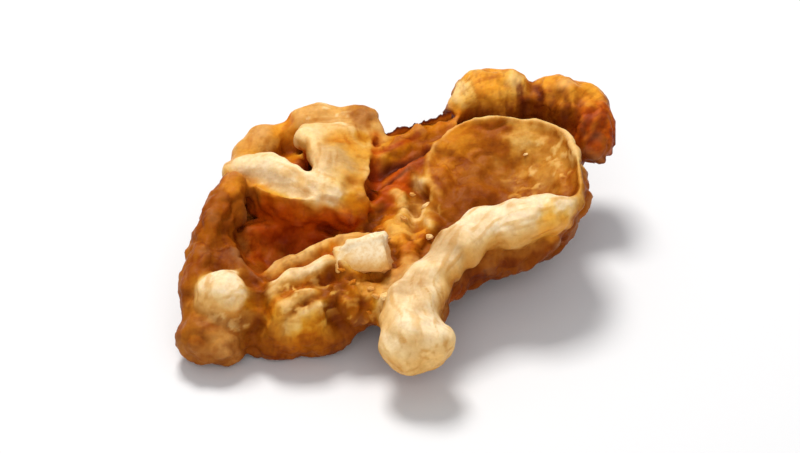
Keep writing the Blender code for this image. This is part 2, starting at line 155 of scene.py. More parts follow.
# Winding folds of the outer side
OUTER_FOLDS = {
    "midline": [(0.2, -8.2, 3.8, 1.7), (-0.6, -4.0, 2.8, 1.7), (0.4, 1.0, 2.6, 1.8), (0.6, 6.4, 3.4, 1.7)],
    "left_1": [
        (-14.8, -10.0, 2.2, 1.9), (-12.2, -9.6, 2.9, 1.5), (-9.6, -9.8, 2.3, 1.9), (-6.4, -9.4, 2.3, 2.0),
        (-3.8, -8.2, 3.4, 1.9), (-2.0, -5.8, 3.4, 1.8),
    ],
    "left_2": [
        (-14.4, -5.8, 3.4, 1.8), (-12.6, -4.0, 2.2, 1.8), (-10.0, -5.6, 1.9, 1.7), (-7.6, -5.2, 1.8, 1.7),
        (-6.2, -2.8, 1.8, 1.7), (-3.4, -2.8, 2.2, 1.8),
    ],
    "left_3": [
        (-13.6, -1.6, 4.6, 1.7), (-12.0, 0.8, 3.0, 1.7), (-9.6, -0.6, 2.0, 1.8), (-8.0, 1.8, 1.8, 1.8),
        (-5.4, 0.8, 1.8, 1.7), (-4.6, 3.2, 2.2, 1.7), (-1.6, 3.0, 2.4, 1.7),
    ],
    "left_4": [
        (-12.0, 4.6, 5.2, 1.6), (-10.6, 4.4, 3.2, 1.8), (-8.4, 5.6, 2.3, 1.9), (-6.2, 5.0, 2.2, 1.8),
        (-5.0, 7.2, 3.2, 1.8), (-2.6, 6.2, 3.2, 1.7), (-0.6, 6.8, 3.6, 1.6),
    ],
    "left_5": [
        (-11.2, 7.2, 5.8, 1.7), (-8.8, 8.4, 5.0, 1.8), (-6.2, 9.0, 5.2, 1.9), (-3.6, 9.0, 5.4, 1.9),
        (-1.8, 7.4, 5.6, 1.6),
    ],
    "right_1": [
        (1.2, -13.0, 3.8, 2.0), (2.0, -10.4, 4.2, 1.7), (2.4, -7.4, 5.0, 1.7), (4.4, -4.6, 5.6, 1.6),
        (7.2, -3.6, 5.4, 1.8), (9.4, -2.4, 5.4, 1.9), (12.0, -1.8, 6.6, 1.6),
    ],
    "right_2": [
        (0.8, -4.2, 3.0, 1.7), (3.2, -2.6, 3.0, 1.7), (5.0, 0.2, 2.8, 1.7), (7.6, -0.6, 3.2, 1.8),
        (9.2, 0.8, 3.0, 1.8), (11.6, 0.2, 4.6, 1.8), (12.4, -0.2, 6.6, 1.5),
    ],
    "right_3": [
        (1.4, 0.6, 2.6, 1.7), (3.8, 1.4, 2.0, 1.8), (5.6, 3.6, 1.8, 1.8), (8.0, 2.8, 1.9, 1.9),
        (10.2, 4.4, 2.4, 1.8), (11.8, 3.2, 4.2, 1.8), (12.6, 2.6, 6.8, 1.6),
    ],
    "right_4": [
        (1.6, 5.6, 3.2, 1.6), (3.8, 6.8, 2.8, 1.8), (6.0, 6.4, 2.0, 1.9), (8.2, 7.6, 2.1, 1.9),
        (10.6, 7.4, 3.4, 1.8), (12.4, 6.6, 4.8, 1.8), (13.8, 8.0, 6.2, 1.6),
    ],
    "right_5": [
        (4.4, 9.6, 5.6, 1.7), (6.6, 10.8, 5.0, 1.9), (9.0, 10.6, 5.0, 1.9), (11.4, 11.2, 6.0, 1.9),
        (13.8, 10.6, 6.4, 1.8),
    ],
}

# Open cups of flesh. Each is its centre, its half-axes, how far up it is open, its thickness and
# its turn about X and Y in degrees.
CUPS = {
    "left_shell": ((-8.0, -0.4, 7.4), (7.2, 10.2, 5.9), -0.25, 1.8, (0, 3)),
    "left_front_cup": ((-8.6, -3.4, 6.8), (6.4, 5.6, 5.2), -0.35, 1.8, (0, 4)),
    "left_back_cup": ((-7.2, 4.8, 7.6), (5.4, 5.4, 5.0), 0.1, 1.8, (-6, 2)),
    "right_shell": ((7.6, 4.6, 8.6), (6.4, 7.8, 7.2), -0.2, 1.8, (4, -4)),
}

# Walls that stand up from the cups to a ridge: pairs of an upper and a lower edge point
WALLS = {
    "divider_wall": (
        1.4,
        [((-12.2, 2.6, 8.4), (-11.4, 3.4, 3.8)), ((-8.6, 1.5, 8.6), (-8.6, 3.4, 3.0)),
         ((-6.0, 0.1, 8.4), (-6.2, 2.6, 2.6)), ((-3.4, -0.4, 7.4), (-2.6, 0.8, 2.6))],
    ),
    "branch_wall": (
        2.4,
        [((-4.0, -0.6, 7.2), (-2.6, -0.4, 2.4)), ((-4.2, 2.0, 8.2), (-2.6, 2.8, 2.6)),
         ((-4.6, 5.4, 8.8), (-2.6, 6.4, 3.4))],
    ),
    "back_web": (
        1.2,
        [((-2.2, 7.8, 8.1), (-2.0, 0.6, 6.2)), ((0.6, 8.6, 8.4), (0.2, 0.8, 6.0)),
         ((3.0, 9.2, 8.9), (2.2, 1.8, 6.4)), ((5.2, 9.9, 9.4), (3.6, 5.4, 7.4))],
    ),
    "right_back_wall": (
        2.4,
        [((4.8, 10.8, 8.0), (4.0, 8.6, 3.8)), ((8.2, 12.0, 8.4), (7.4, 9.2, 3.4)),
         ((12.2, 11.6, 8.2), (11.2, 8.8, 4.0)), ((15.2, 9.4, 7.2), (13.2, 6.8, 4.2))],
    ),
    "front_right_wall": (
        2.0,
        [((13.2, -1.8, 8.4), (11.2, -0.8, 5.2)), ((9.2, -3.2, 7.4), (8.2, -2.2, 4.0)),
         ((5.6, -4.6, 6.8), (5.0, -4.2, 3.2)), ((3.0, -8.2, 6.0), (2.8, -8.0, 3.6)),
         ((1.2, -12.0, 5.0), (1.4, -11.6, 4.0))],
    ),
}

# Sheets of flesh laid over a coarse cage, one row of points from left to right after another
SHEETS = {
    "divider_top": (
        0.9,
        [
            [(-12.6, 4.1, 9.5), (-10.3, 4.3, 9.7), (-8.2, 2.8, 9.7), (-6.2, 1.4, 9.7), (-4.4, 1.0, 9.5)],
            [(-12.9, 3.6, 9.4), (-10.4, 3.3, 9.6), (-8.3, 1.9, 9.6), (-6.2, 0.5, 9.5), (-4.5, 0.2, 9.2)],
            [(-12.8, 3.1, 8.9), (-10.5, 2.4, 9.0), (-8.3, 1.1, 9.0), (-6.1, -0.3, 8.9), (-4.7, -0.5, 8.6)],
        ],
    ),
    "branch_top": (
        2.4,
        [
            [(-7.8, 7.6, 9.8), (-5.2, 8.3, 10.0), (-2.0, 8.2, 9.2)],
            [(-6.6, 5.2, 9.9), (-4.2, 4.9, 9.8), (-1.9, 5.4, 9.0)],
            [(-6.2, 2.4, 9.7), (-4.1, 1.8, 9.7), (-1.9, 2.6, 8.8)],
            [(-5.8, 1.0, 9.4), (-4.3, 0.7, 9.2), (-2.7, 1.2, 8.4)],
        ],
    ),
    "right_hollow": (
        1.9,
        [
            [(1.4, 6.6, 8.6), (3.4, 6.3, 9.3), (5.7, 7.4, 9.8), (8.4, 7.5, 10.0), (11.0, 6.6, 10.2),
             (12.9, 5.0, 10.2)],
            [(1.2, 4.4, 7.0), (2.8, 4.0, 8.5), (5.4, 4.6, 8.4), (8.6, 4.6, 8.2), (11.3, 3.8, 8.7),
             (13.6, 2.4, 10.0)],
            [(1.2, 1.6, 6.3), (2.9, 1.2, 7.6), (5.2, 1.0, 7.7), (8.6, 1.0, 7.4), (11.5, 0.8, 8.0),
             (13.8, -0.4, 9.5)],
            [(1.2, -1.8, 6.2), (3.4, -2.0, 6.8), (6.0, -2.8, 7.0), (8.8, -2.6, 7.1), (11.4, -2.4, 7.6),
             (13.4, -2.0, 8.6)],
        ],
    ),
    "bridge_floor": (
        3.0,
        [
            [(-2.6, 6.6, 7.0), (0.2, 6.8, 7.2), (3.4, 7.0, 7.8)],
            [(-2.6, 1.6, 6.2), (0.2, 1.6, 6.0), (3.0, 1.6, 6.8)],
            [(-3.0, -2.6, 6.2), (0.2, -3.2, 5.7), (3.4, -2.6, 6.4)],
            [(-3.0, -6.4, 5.6), (-0.4, -7.4, 5.0), (2.6, -7.4, 5.2)],
        ],
    ),
}

# Solid lumps of flesh: centre and half-axes
LUMPS = {
    "bridge": ((0.4, -1.8, 4.4), (4.2, 4.6, 2.4)),
    "front_left_knob": ((-13.2, -8.6, 4.6), (2.5, 2.2, 2.7)),
    "heel": ((-14.0, -10.6, 2.6), (2.9, 2.0, 2.1)),
    "front_left_valley": ((-10.8, -8.2, 3.2), (1.4, 1.5, 1.8)),
    "front_left_body": ((-7.7, -9.4, 3.3), (3.5, 2.7, 3.1)),
    "front_left_inner_body": ((-3.6, -8.2, 4.4), (2.6, 2.5, 2.6)),
    "front_middle": ((0.2, -7.6, 4.5), (3.2, 3.6, 2.4)),
    "front_right_knob": ((1.3, -13.9, 4.6), (2.9, 2.3, 2.5)),
    "divider_joint": ((-3.7, 1.0, 7.3), (1.6, 1.5, 1.5)),
    "small_hollow_floor": ((-8.6, 6.0, 5.4), (2.4, 3.2, 2.3)),
    "back_lobe_left": ((7.5, 12.2, 9.0), (3.6, 2.5, 2.8)),
    "back_lobe_right": ((13.9, 11.5, 8.5), (3.2, 2.6, 2.8)),
    "back_rim_lump": ((-3.0, 9.8, 8.8), (1.6, 1.4, 1.3)),
}

# Broken pieces with flat faces: centre, half-axes, and turn about X and Y in degrees
BLOCKS = {
    "broken_nub": ((-2.7, -6.1, 7.2), (2.1, 1.4, 1.2), (-34, -11)),
}

# The skin of each part: the pigment of its crests, that of its flanks, and how strongly dark lines
# cross it. The crests' pigment goes where the skin faces upwards and the flanks' where it faces
# sideways and down, so the change is partly the skin's own paler crests and partly painted light and
# shade.
SKIN = {
    "left_rim": ("olive", "brown", 0.1),
    "hollow_front_rim": ("tan", "amber", 0.5),
    "front_left_crest": ("cream", "straw", 0.35),
    "hollow_divider": ("cream", "cream", 0.0),
    "divider_top": ("cream", "cream", 0.0),
    "branch_edge": ("cream", "straw", 0.0),
    "branch_top": ("straw", "tan", 0.05),
    "web_rib_upper": ("honey", "honey", 0.1),
    "web_rib_lower": ("russet", "russet", 0.1),
    "left_back_rim": ("tan", "tan", 0.2),
    "front_right_ridge": ("cream", "tan", 0.05),
    "right_hollow_edge": ("olive", "olive", 0.1),
    "right_lip": ("cream", "tan", 0.15),
    "right_lip_foot": ("olive", "olive", 0.1),
    "right_back_roll": ("gold", "chestnut", 0.5),
    "left_front_cup": ("russet", "russet", 0.1),
    "left_back_cup": ("honey", "russet", 0.1),
    "left_shell": ("chestnut", "chestnut", 0.3),
    "right_shell": ("chestnut", "chestnut", 0.3),
    "divider_wall": ("russet", "russet", 0.1),
    "branch_wall": ("amber", "russet", 0.1),
    "back_web": ("amber", "russet", 0.4),
    "right_back_wall": ("chestnut", "chestnut", 0.6),
    "front_right_wall": ("chestnut", "chestnut", 0.3),
    "right_hollow": ("olive", "olive", 0.1),
    "bridge_floor": ("honey", "russet", 0.1),
    "bridge": ("amber", "russet", 0.2),
    "front_left_knob": ("cream", "tan", 0.0),
    "heel": ("brown", "brown", 0.2),
    "front_left_valley": ("honey", "chestnut", 0.1),
    "front_left_body": ("straw", "honey", 0.3),
    "front_left_inner_body": ("honey", "chestnut", 0.2),
    "front_middle": ("tan", "amber", 0.3),
    "front_right_knob": ("cream", "straw", 0.0),
    "divider_joint": ("straw", "amber", 0.1),
    "small_hollow_floor": ("honey", "amber", 0.1),
    "back_lobe_left": ("gold", "chestnut", 0.5),
    "back_lobe_right": ("gold", "chestnut", 0.5),
    "back_rim_lump": ("honey", "tan", 0.1),
}
FOLD_SKIN = ("brown", "chestnut", 0.3)

# The grain of a fold: its size along the fold and across it both ways, and its seed
GRAIN = {
    "fibres": ((2.4, 0.42, 0.42), 3),
    "lines": ((0.5, 2.6, 2.6), 4),
    "lumps": ((1.7, 1.5, 1.5), 5),
}

# Rims whose skin is drawn thinner than the table's radius: the share of it that is kept
THINNER = {"right_lip": 0.66, "right_hollow_edge": 0.8}

# Places with a tint: x, y, z, radius, pigment and how much of it. Most are the skin's own colour;
# the ones marked below are painted shade.
TINTS = [
    (-7.3, 5.6, 7.8, 1.6, "russet", 0.9),
    (-9.0, 8.8, 8.2, 1.9, "gold", 0.9),
    (-9.0, 6.6, 7.2, 1.6, "honey", 0.8),
    (-8.1, -11.4, 4.5, 1.1, "straw", 0.8),
    # Painted shade: darker at the lower left of the shallow right hollow
    (6.6, 0.4, 7.8, 2.2, "chestnut", 0.6),
    (-10.8, -10.0, 5.2, 0.9, "honey", 0.7),
    (-12.9, 1.0, 9.0, 1.3, "gold", 0.7),
    (-4.8, 3.4, 9.8, 2.2, "fawn", 0.8),
    (-3.0, 4.6, 9.4, 1.3, "gold", 0.5),
    (-2.8, -0.4, 7.9, 1.5, "honey", 0.9),
    (-2.9, 9.0, 9.9, 1.6, "brown", 0.8),
    (-2.6, 6.8, 9.2, 0.9, "honey", 0.6),
    (7.5, 11.6, 11.5, 2.6, "gold", 0.95),
    # Painted shade: these two darken the band where the left rim meets the front-left knob
    (-12.2, -6.2, 6.5, 1.3, "chestnut", 0.8),
    (-11.5, -7.5, 6.2, 1.0, "chestnut", 0.7),
    (13.2, 10.8, 10.8, 2.6, "gold", 0.8),
    (4.8, 6.8, 9.6, 2.1, "gold", 0.8),
    (3.6, 4.0, 8.6, 1.7, "gold", 0.6),
    # Painted shade: darker in the middle of the shallow right hollow
    (7.4, 3.4, 8.6, 2.4, "brown", 0.5),
    (11.8, 4.0, 9.2, 4.2, "straw", 0.55),
    (9.8, 6.8, 10.0, 2.0, "straw", 0.6),
    # Painted shade: darker at the lower left of the shallow right hollow
    (4.8, 0.9, 7.8, 2.2, "chestnut", 0.7),
    (11.8, -4.3, 8.2, 2.2, "gold", 0.7),
    (3.0, -6.3, 8.5, 2.4, "fawn", 0.85),
    (1.2, -10.4, 7.5, 1.8, "fawn", 0.7),
    (5.0, 11.8, 10.4, 1.8, "straw", 0.9),
    (9.2, 11.8, 11.5, 1.5, "straw", 0.8),
    (1.6, 0.2, 7.2, 1.9, "straw", 0.7),
    (0.2, -1.9, 6.8, 1.5, "straw", 0.6),
    (-13.2, -12.2, 3.6, 1.4, "tan", 0.6),
    (-7.2, -5.4, 7.0, 1.3, "straw", 0.7),
    (-2.4, -8.9, 6.2, 1.3, "tan", 0.7),
    # Painted shade: these two darken the front face of the right rear lobe, which faces away from the light
    (15.6, 9.0, 8.6, 2.8, "russet", 0.8),
    (12.6, 9.4, 9.6, 1.8, "chestnut", 0.8),
    # Painted shade on the left side of the front-left knob
    (-14.9, -8.0, 4.0, 2.0, "chestnut", 0.7),
]

# Furrows between folds, thin raised edges with a depth below 0, and bands of colour with none: x, y
# and z along each, then its half width, its depth, its pigment and how much of it. The dark pigments
# laid in the furrows are partly the skin's own darker lines and partly painted shade in the grooves.
FURROWS = [
    ([(-12.3, 3.4, 9.3), (-11.4, 2.8, 9.0), (-9.5, 1.5, 8.8), (-7.6, 0.5, 8.6), (-5.8, -0.3, 8.6),
      (-4.7, -0.2, 8.5)], 0.95, 0.0, "cream", 0.95),
    ([(-11.2, -7.6, 6.2), (-10.6, -8.6, 5.6), (-10.4, -9.4, 5.3), (-10.5, -10.1, 4.5), (-10.9, -10.8, 3.3),
      (-10.9, -11.3, 2.0)], 0.6, 0.6, "chestnut", 0.9),
    ([(-10.6, -8.5, 5.8), (-9.2, -7.6, 6.5), (-8.0, -6.9, 6.9), (-6.6, -6.2, 7.3), (-5.2, -5.9, 7.5)],
     0.35, 0.4, "amber", 0.8),
    ([(-9.9, -10.7, 5.0), (-9.1, -10.2, 5.6), (-8.0, -9.5, 6.2), (-6.6, -8.6, 6.4), (-5.0, -8.0, 6.8)],
     0.35, 0.3, "amber", 0.7),
    ([(-8.6, -11.6, 4.4), (-7.6, -10.9, 5.2), (-6.2, -9.9, 5.8), (-5.2, -9.1, 6.2)],
     0.3, 0.3, "chestnut", 0.8),
    ([(-5.2, -7.9, 6.7), (-4.4, -9.2, 6.0), (-5.0, -10.2, 4.9), (-4.0, -10.6, 3.8)],
     0.45, 0.5, "chestnut", 0.8),
    ([(-2.9, -9.0, 6.2), (-2.6, -10.0, 5.4), (-3.0, -10.8, 4.2)], 0.3, 0.35, "chestnut", 0.7),
    ([(-12.0, 0.3, 8.3), (-12.9, -2.0, 7.8), (-13.7, -4.1, 7.0), (-14.4, -6.6, 6.4)],
     0.5, 0.15, "chestnut", 0.8),
    ([(-2.0, 3.8, 7.5), (-0.5, 4.7, 7.8), (1.0, 5.3, 8.3), (2.4, 5.9, 8.8)], 0.3, 0.4, "dark", 0.9),
    ([(-2.0, 2.6, 7.2), (-0.6, 3.3, 7.4), (0.9, 4.1, 7.8)], 0.25, 0.25, "dark", 0.7),
    ([(-1.8, 5.6, 8.6), (-0.2, 6.4, 8.8), (1.6, 7.2, 9.2)], 0.22, 0.2, "russet", 0.7),
    ([(1.6, 5.8, 8.0), (1.3, 4.4, 7.4), (1.5, 2.8, 7.0), (2.4, 0.8, 6.8), (3.4, -0.8, 6.8)],
     0.4, 0.3, "chestnut", 0.8),
    ([(2.9, 6.3, 9.3), (2.3, 4.7, 8.7), (2.5, 2.9, 8.2), (3.3, 1.1, 7.9)], 0.25, -0.08, "tan", 0.8),
    ([(1.8, -4.3, 6.5), (3.4, -1.9, 6.8), (5.0, -0.8, 7.5), (6.9, 0.3, 7.5), (9.1, 0.6, 7.6)],
     0.4, 0.35, "chestnut", 0.7),
    ([(-4.7, -7.8, 6.6), (-3.4, -8.6, 6.2), (-2.2, -8.2, 6.2), (-1.0, -7.6, 6.2)],
     0.5, 0.4, "chestnut", 0.6),
    ([(-4.9, -5.2, 7.6), (-4.8, -6.4, 7.2), (-4.5, -7.4, 6.8)], 0.3, 0.35, "amber", 0.8),
    ([(-8.9, 10.2, 8.9), (-8.7, 9.0, 8.7), (-8.8, 8.2, 7.6)], 0.45, 0.35, "amber", 0.9),
    ([(8.4, 11.3, 11.4), (8.5, 10.5, 10.8), (8.8, 10.2, 9.7)], 0.26, 0.14, "chestnut", 0.8),
    ([(9.7, 11.4, 10.9), (9.9, 10.8, 10.4), (10.2, 10.8, 9.3)], 0.32, 0.2, "dark", 0.9),
    ([(11.0, 12.0, 10.7), (11.3, 10.8, 10.4), (11.3, 10.5, 9.3)], 0.3, 0.18, "dark", 0.9),
    ([(12.1, 11.1, 11.4), (12.4, 10.4, 10.6), (12.3, 10.2, 9.4)], 0.3, 0.2, "dark", 0.9),
    ([(13.2, 10.4, 11.3), (13.4, 9.7, 10.6), (13.3, 9.3, 9.3)], 0.3, 0.2, "dark", 0.95),
    ([(14.2, 10.2, 10.8), (14.3, 9.3, 10.1), (13.9, 8.7, 8.9)], 0.3, 0.2, "dark", 0.95),
    ([(15.4, 9.1, 10.4), (14.9, 8.2, 9.9), (14.5, 7.9, 8.9)], 0.3, 0.18, "dark", 0.9),
    ([(16.3, 8.5, 9.6), (15.7, 7.6, 9.2), (15.0, 7.2, 8.4)], 0.28, 0.16, "dark", 0.8),
    ([(-0.3, -2.6, 6.7), (-0.2, -4.6, 6.9), (-0.2, -6.6, 7.0)], 0.45, 0.5, "chestnut", 0.9),
    ([(10.7, 13.6, 11.2), (10.6, 12.0, 11.0), (10.4, 10.5, 9.6)], 0.35, 0.3, "chestnut", 0.7),
    ([(-1.7, 7.6, 8.2), (-1.7, 5.0, 7.8), (-1.7, 3.4, 7.2), (-2.1, 1.4, 7.2)], 0.4, 0.25, "russet", 0.8),
    ([(4.9, -7.0, 6.4), (5.8, -5.6, 6.6), (6.6, -5.2, 6.4)], 0.35, 0.45, "chestnut", 0.8),
    ([(-0.2, 2.0, 7.2), (0.4, 1.0, 6.8), (0.3, -0.8, 6.8)], 0.5, -0.35, "straw", 0.8),
    ([(1.5, 3.4, 7.1), (2.0, 2.7, 7.1)], 0.45, -0.4, "cream", 0.85),
    ([(2.3, -0.9, 6.7), (2.5, -1.6, 6.7)], 0.4, -0.35, "cream", 0.85),
    ([(-1.2, 0.9, 6.8), (-1.9, -0.7, 6.5), (-2.4, -1.3, 6.3)], 0.4, 0.4, "chestnut", 0.9),
    ([(1.2, 1.4, 6.9), (1.3, -0.6, 6.8), (1.1, -3.2, 6.7)], 0.4, 0.4, "chestnut", 0.9),
    ([(-0.6, -1.4, 6.8), (-0.4, -2.4, 6.7), (0.2, -3.6, 6.7)], 0.45, -0.3, "gold", 0.8),
]

# Flakes of pale skin that cling in places: x, y, z, radius and pigment
FLAKES = [
    (12.0, 3.6, 9.2, 3.0, "straw"), (9.6, 2.2, 8.2, 2.2, "tan"), (0.4, -2.4, 6.6, 2.6, "gold"),
    (1.6, 0.4, 7.0, 1.4, "straw"), (2.6, 0.6, 7.6, 1.6, "tan"), (-6.8, -9.4, 5.6, 3.0, "straw"),
    (-3.0, -9.8, 5.4, 2.4, "tan"), (-12.6, -9.8, 4.6, 2.4, "straw"), (-5.2, 9.6, 9.6, 3.0, "cream"),
    (7.0, 13.0, 10.6, 3.0, "straw"), (13.6, 12.0, 10.4, 2.4, "gold"),
]

# The papery frill that stands on the web's back edge: x, y, z along it. Its ruffles are noise that
# runs on by a step from one point of its path to the next.
FRILL = [(-1.8, 8.0, 8.5), (0.4, 8.5, 8.75), (2.4, 9.0, 9.2), (4.2, 9.6, 9.6)]
FRILL_STEP = 0.035

# Places where the flesh is crumbled: x, y, z and radius
CRUMBLED = [
    (-2.0, -3.2, 6.4, 3.2), (1.2, -4.8, 6.4, 2.8), (0.6, 0.6, 6.6, 2.4), (-3.2, -9.4, 5.6, 2.6),
    (-0.4, -10.0, 5.2, 2.0),
]

# Loose crumbs that stick to the skin: x, y, size and pigment
CRUMBS = [
    (2.0, 1.2, 0.6, "straw"), (2.5, -2.7, 0.6, "straw"), (0.5, -1.3, 0.5, "tan"),
    (-1.4, -2.2, 0.5, "honey"), (1.2, 2.1, 0.4, "tan"), (-0.8, -3.4, 0.6, "tan"),
    (-4.3, -7.9, 0.5, "honey"), (-3.2, -8.9, 0.5, "honey"), (-2.2, -9.2, 0.45, "tan"),
    (-1.7, -10.0, 0.6, "tan"), (-1.1, -10.6, 0.7, "straw"), (-2.3, -10.4, 0.4, "honey"),
    (9.8, 5.0, 0.35, "straw"),
]


def smooth_path(points, per_span):
    """Points on a Catmull-Rom curve: each blends four neighbours by cubics of t, all numbers alike."""
    points = np.asarray(points, float)
    padded = np.concatenate([points[:1], points, points[-1:]])
    t = np.arange(per_span) / per_span
    weights = 0.5 * np.stack([
        2 * t**2 - t - t**3, 2 - 5 * t**2 + 3 * t**3, t + 4 * t**2 - 3 * t**3, t**3 - t**2,
    ])
    fours = np.stack([padded[i : i + len(points) - 1] for i in range(4)])
    curve = np.einsum("wt,ws...->st...", weights, fours).reshape(-1, *points.shape[1:])
    return np.concatenate([curve, points[-1:]])


def grid_faces(rows, columns, ring=False):
    """The four-sided faces of a grid of points. On a ring the last column is joined to the first."""
    i = np.arange(rows - 1)[:, None]
    j = np.arange(columns if ring else columns - 1)[None]
    k = (j + 1) % columns
    corners = [i * columns + j, i * columns + k, (i + 1) * columns + k, (i + 1) * columns + j]
    return np.stack([np.broadcast_to(c, (rows - 1, j.size)) for c in corners], -1).reshape(-1, 4)


def unit(vectors):
    return vectors / np.maximum(np.linalg.norm(vectors, axis=-1, keepdims=True), 1e-12)


def directions(path):
    """Three unit directions at each point of a path: along it, and two square to it."""
    along = unit(np.gradient(path, axis=0))
    side = unit(np.cross(along, ASKEW))
    return along, side, np.cross(side, along)


def sphere(rows, columns, start=0.0, end=math.pi, bent=lambda wave: wave):
    """A unit sphere's points, in rows from one angle from the top to another, and round in columns.

    Its sines and cosines can be bent, which turns the sphere into another rounded shape.
    """
    down = np.linspace(start, end, rows)[:, None]
    turn = np.linspace(0, 2 * math.pi, columns, endpoint=False)[None]
    return np.stack([
        bent(np.sin(down)) * bent(np.cos(turn)), bent(np.sin(down)) * bent(np.sin(turn)),
        np.broadcast_to(bent(np.cos(down)), (rows, columns)),
    ], -1)


def ridge(points, share=1.0, around=20):
    """A circle carried along the path, square to it, and closed to a point at each end.

    Its radius is the path's own there, or a share of it.
    """
    path = smooth_path(points, 8)
    middle, radius = path[:, :3], path[:, 3] * share
    _, side, over = directions(middle)
    angle = np.linspace(0, 2 * math.pi, around, endpoint=False)
    ring = np.cos(angle)[:, None, None] * side + np.sin(angle)[:, None, None] * over
    grid = (middle + radius[:, None] * ring).transpose(1, 0, 2)
    ends = [np.repeat(middle[i][None, None], around, axis=1) for i in (0, -1)]
    grid = np.concatenate([ends[0], grid, ends[1]])
    return grid.reshape(-1, 3), grid_faces(len(grid), around, ring=True), (middle, radius)


def slab(upper, thickness, offset):
    """A grid of points and the same grid moved along its own normals, closed round the edge.

    offset 0 puts the sheet in the middle of the slab, and 1 puts it on top.
    """
    normal = unit(np.cross(np.gradient(upper, axis=0), np.gradient(upper, axis=1)))
    top = upper + normal * thickness * (1 - offset) / 2
    bottom = top - normal * thickness
    rows, columns = upper.shape[:2]
    faces = grid_faces(rows, columns)
    count = rows * columns
    index = np.arange(count).reshape(rows, columns)
    rim = np.concatenate([index[0], index[1:, -1], index[-1, -2::-1], index[-2:0:-1, 0]])
    after = np.roll(rim, -1)
    sides = np.stack([rim, after, after + count, rim + count], -1)
    faces = np.concatenate([faces, faces[:, ::-1] + count, sides])
    middle = ((top + bottom) / 2)[::2, ::2].reshape(-1, 3)
    return np.concatenate([top.reshape(-1, 3), bottom.reshape(-1, 3)]), faces, (middle, thickness / 2)


def wall(thickness, pairs):
    """Straight lines from a smooth upper edge to a smooth lower one, side by side."""
    edges = smooth_path(pairs, 6)
    t = np.linspace(0, 1, 7)[:, None]
    return slab(edges[:, None, 0] * (1 - t) + edges[:, None, 1] * t, thickness, 0)


def sheet(thickness, rows):
    """A surface smooth in two directions through a coarse cage of points."""
    across = smooth_path(rows, 6)
    return slab(smooth_path(across.transpose(1, 0, 2), 6).transpose(1, 0, 2), thickness, 1)


def turned(points, about_x, about_y):
    """Points turned about X and then about Y, by angles in degrees."""
    a, b = math.radians(about_x), math.radians(about_y)
    x_turn = np.array([[1, 0, 0], [0, math.cos(a), -math.sin(a)], [0, math.sin(a), math.cos(a)]])
    y_turn = np.array([[math.cos(b), 0, math.sin(b)], [0, 1, 0], [-math.sin(b), 0, math.cos(b)]])
    return points @ (y_turn @ x_turn).T


def cup(centre, half_axes, open_above, thickness, turn):
    """An ellipsoid's skin below a level, from its lowest point outwards and round, thickened inwards."""
    outer = sphere(16, 40, math.pi, math.acos(open_above))
    axes = np.array(half_axes)
    shells = [outer * axes, outer * (axes - thickness)]
    grid = np.concatenate([shells[0][:1], shells[0], shells[1][::-1]])
    verts = turned(grid.reshape(-1, 3), *turn) + centre
    middle = turned(((shells[0] + shells[1]) / 2)[::2, ::3].reshape(-1, 3), *turn) + centre
    return verts, grid_faces(len(grid), 40, ring=True), (middle, thickness / 2)


def lump(centre, half_axes):
    """An ellipsoid, from pole to pole and round."""
    ball = sphere(15, 28)
    verts = (ball * half_axes + centre).reshape(-1, 3)
    core = (ball[::2, ::4] * np.array(half_axes) * 0.5 + centre).reshape(-1, 3)
    return verts, grid_faces(15, 28, ring=True)[:, ::-1], (core, min(half_axes) * 0.5)


def flesh_parts():
    """Every part's name, its mesh, and the points and half thickness that its skin is measured from.

    The broken nub is left to a piece of its own, so that its faces stay crisp. The thin lip stands on
    a foot, which closes the gap to the hollow's sheet.
    """
    parts = {}
    for name, points in {**INNER_RIDGES, **OUTER_FOLDS}.items():
        parts[name] = ridge(points, THINNER.get(name, 1.0))
    foot = [(x, y - 0.1, z - 0.45, radius) for x, y, z, radius in INNER_RIDGES["right_lip"]]
    parts["right_lip_foot"] = ridge(foot, 0.8)
    for name, shape in CUPS.items():
        parts[name] = cup(*shape)
    for name, (thickness, pairs) in WALLS.items():
        parts[name] = wall(thickness, pairs)
    for name, (thickness, rows) in SHEETS.items():
        parts[name] = sheet(thickness, rows)
    for name, shape in LUMPS.items():
        parts[name] = lump(*shape)
    return parts


def new_mesh(name, verts, faces):
    """A mesh of points in millimetres, in metres."""
    mesh = bpy.data.meshes.new(name)
    mesh.from_pydata((np.asarray(verts) * MM).tolist(), [], np.asarray(faces).tolist())
    return mesh


def points_of(mesh):
    """A mesh's points in millimetres."""
    verts = np.empty(len(mesh.vertices) * 3, np.float32)
    mesh.vertices.foreach_get("co", verts)
    return verts.reshape(-1, 3).astype(float) / MM


def arrays_of(mesh):
    """A four-sided mesh's points in millimetres and its faces."""
    faces = np.empty(len(mesh.loops), np.int32)
    mesh.loops.foreach_get("vertex_index", faces)
    return points_of(mesh), faces.reshape(-1, 4)


def grown_together(parts, shape):
    """The parts run into one skin of even, four-sided faces, with soft lumps as on the solid."""
    verts, faces, count = [], [], 0
    for part_verts, part_faces, _ in parts.values():
        verts.append(part_verts)
        faces.append(part_faces + count)
        count += len(part_verts)
    mesh = new_mesh("raw_flesh", np.concatenate(verts), np.concatenate(faces))
    raw = bpy.data.objects.new("raw_flesh", mesh)
    bpy.context.scene.collection.objects.link(raw)
    fuse = raw.modifiers.new("grown_together", "REMESH")
    fuse.mode = "VOXEL"
    fuse.voxel_size = shape.grain
    clouds = bpy.data.textures.new("lumps", "CLOUDS")
    clouds.noise_scale = shape.lump_size
    clouds.noise_depth = 1
    clouds.noise_basis = "ORIGINAL_PERLIN"
    uneven = raw.modifiers.new("uneven", "DISPLACE")
    uneven.texture = clouds
    uneven.texture_coords = "LOCAL"
    uneven.strength = shape.unevenness
    uneven.mid_level = 0.5
    graph = bpy.context.evaluated_depsgraph_get()
    mesh = bpy.data.meshes.new_from_object(raw.evaluated_get(graph))
    bpy.data.objects.remove(raw)
    verts, faces = arrays_of(mesh)
    bpy.data.meshes.remove(mesh)
    return outer_skin(verts, faces)


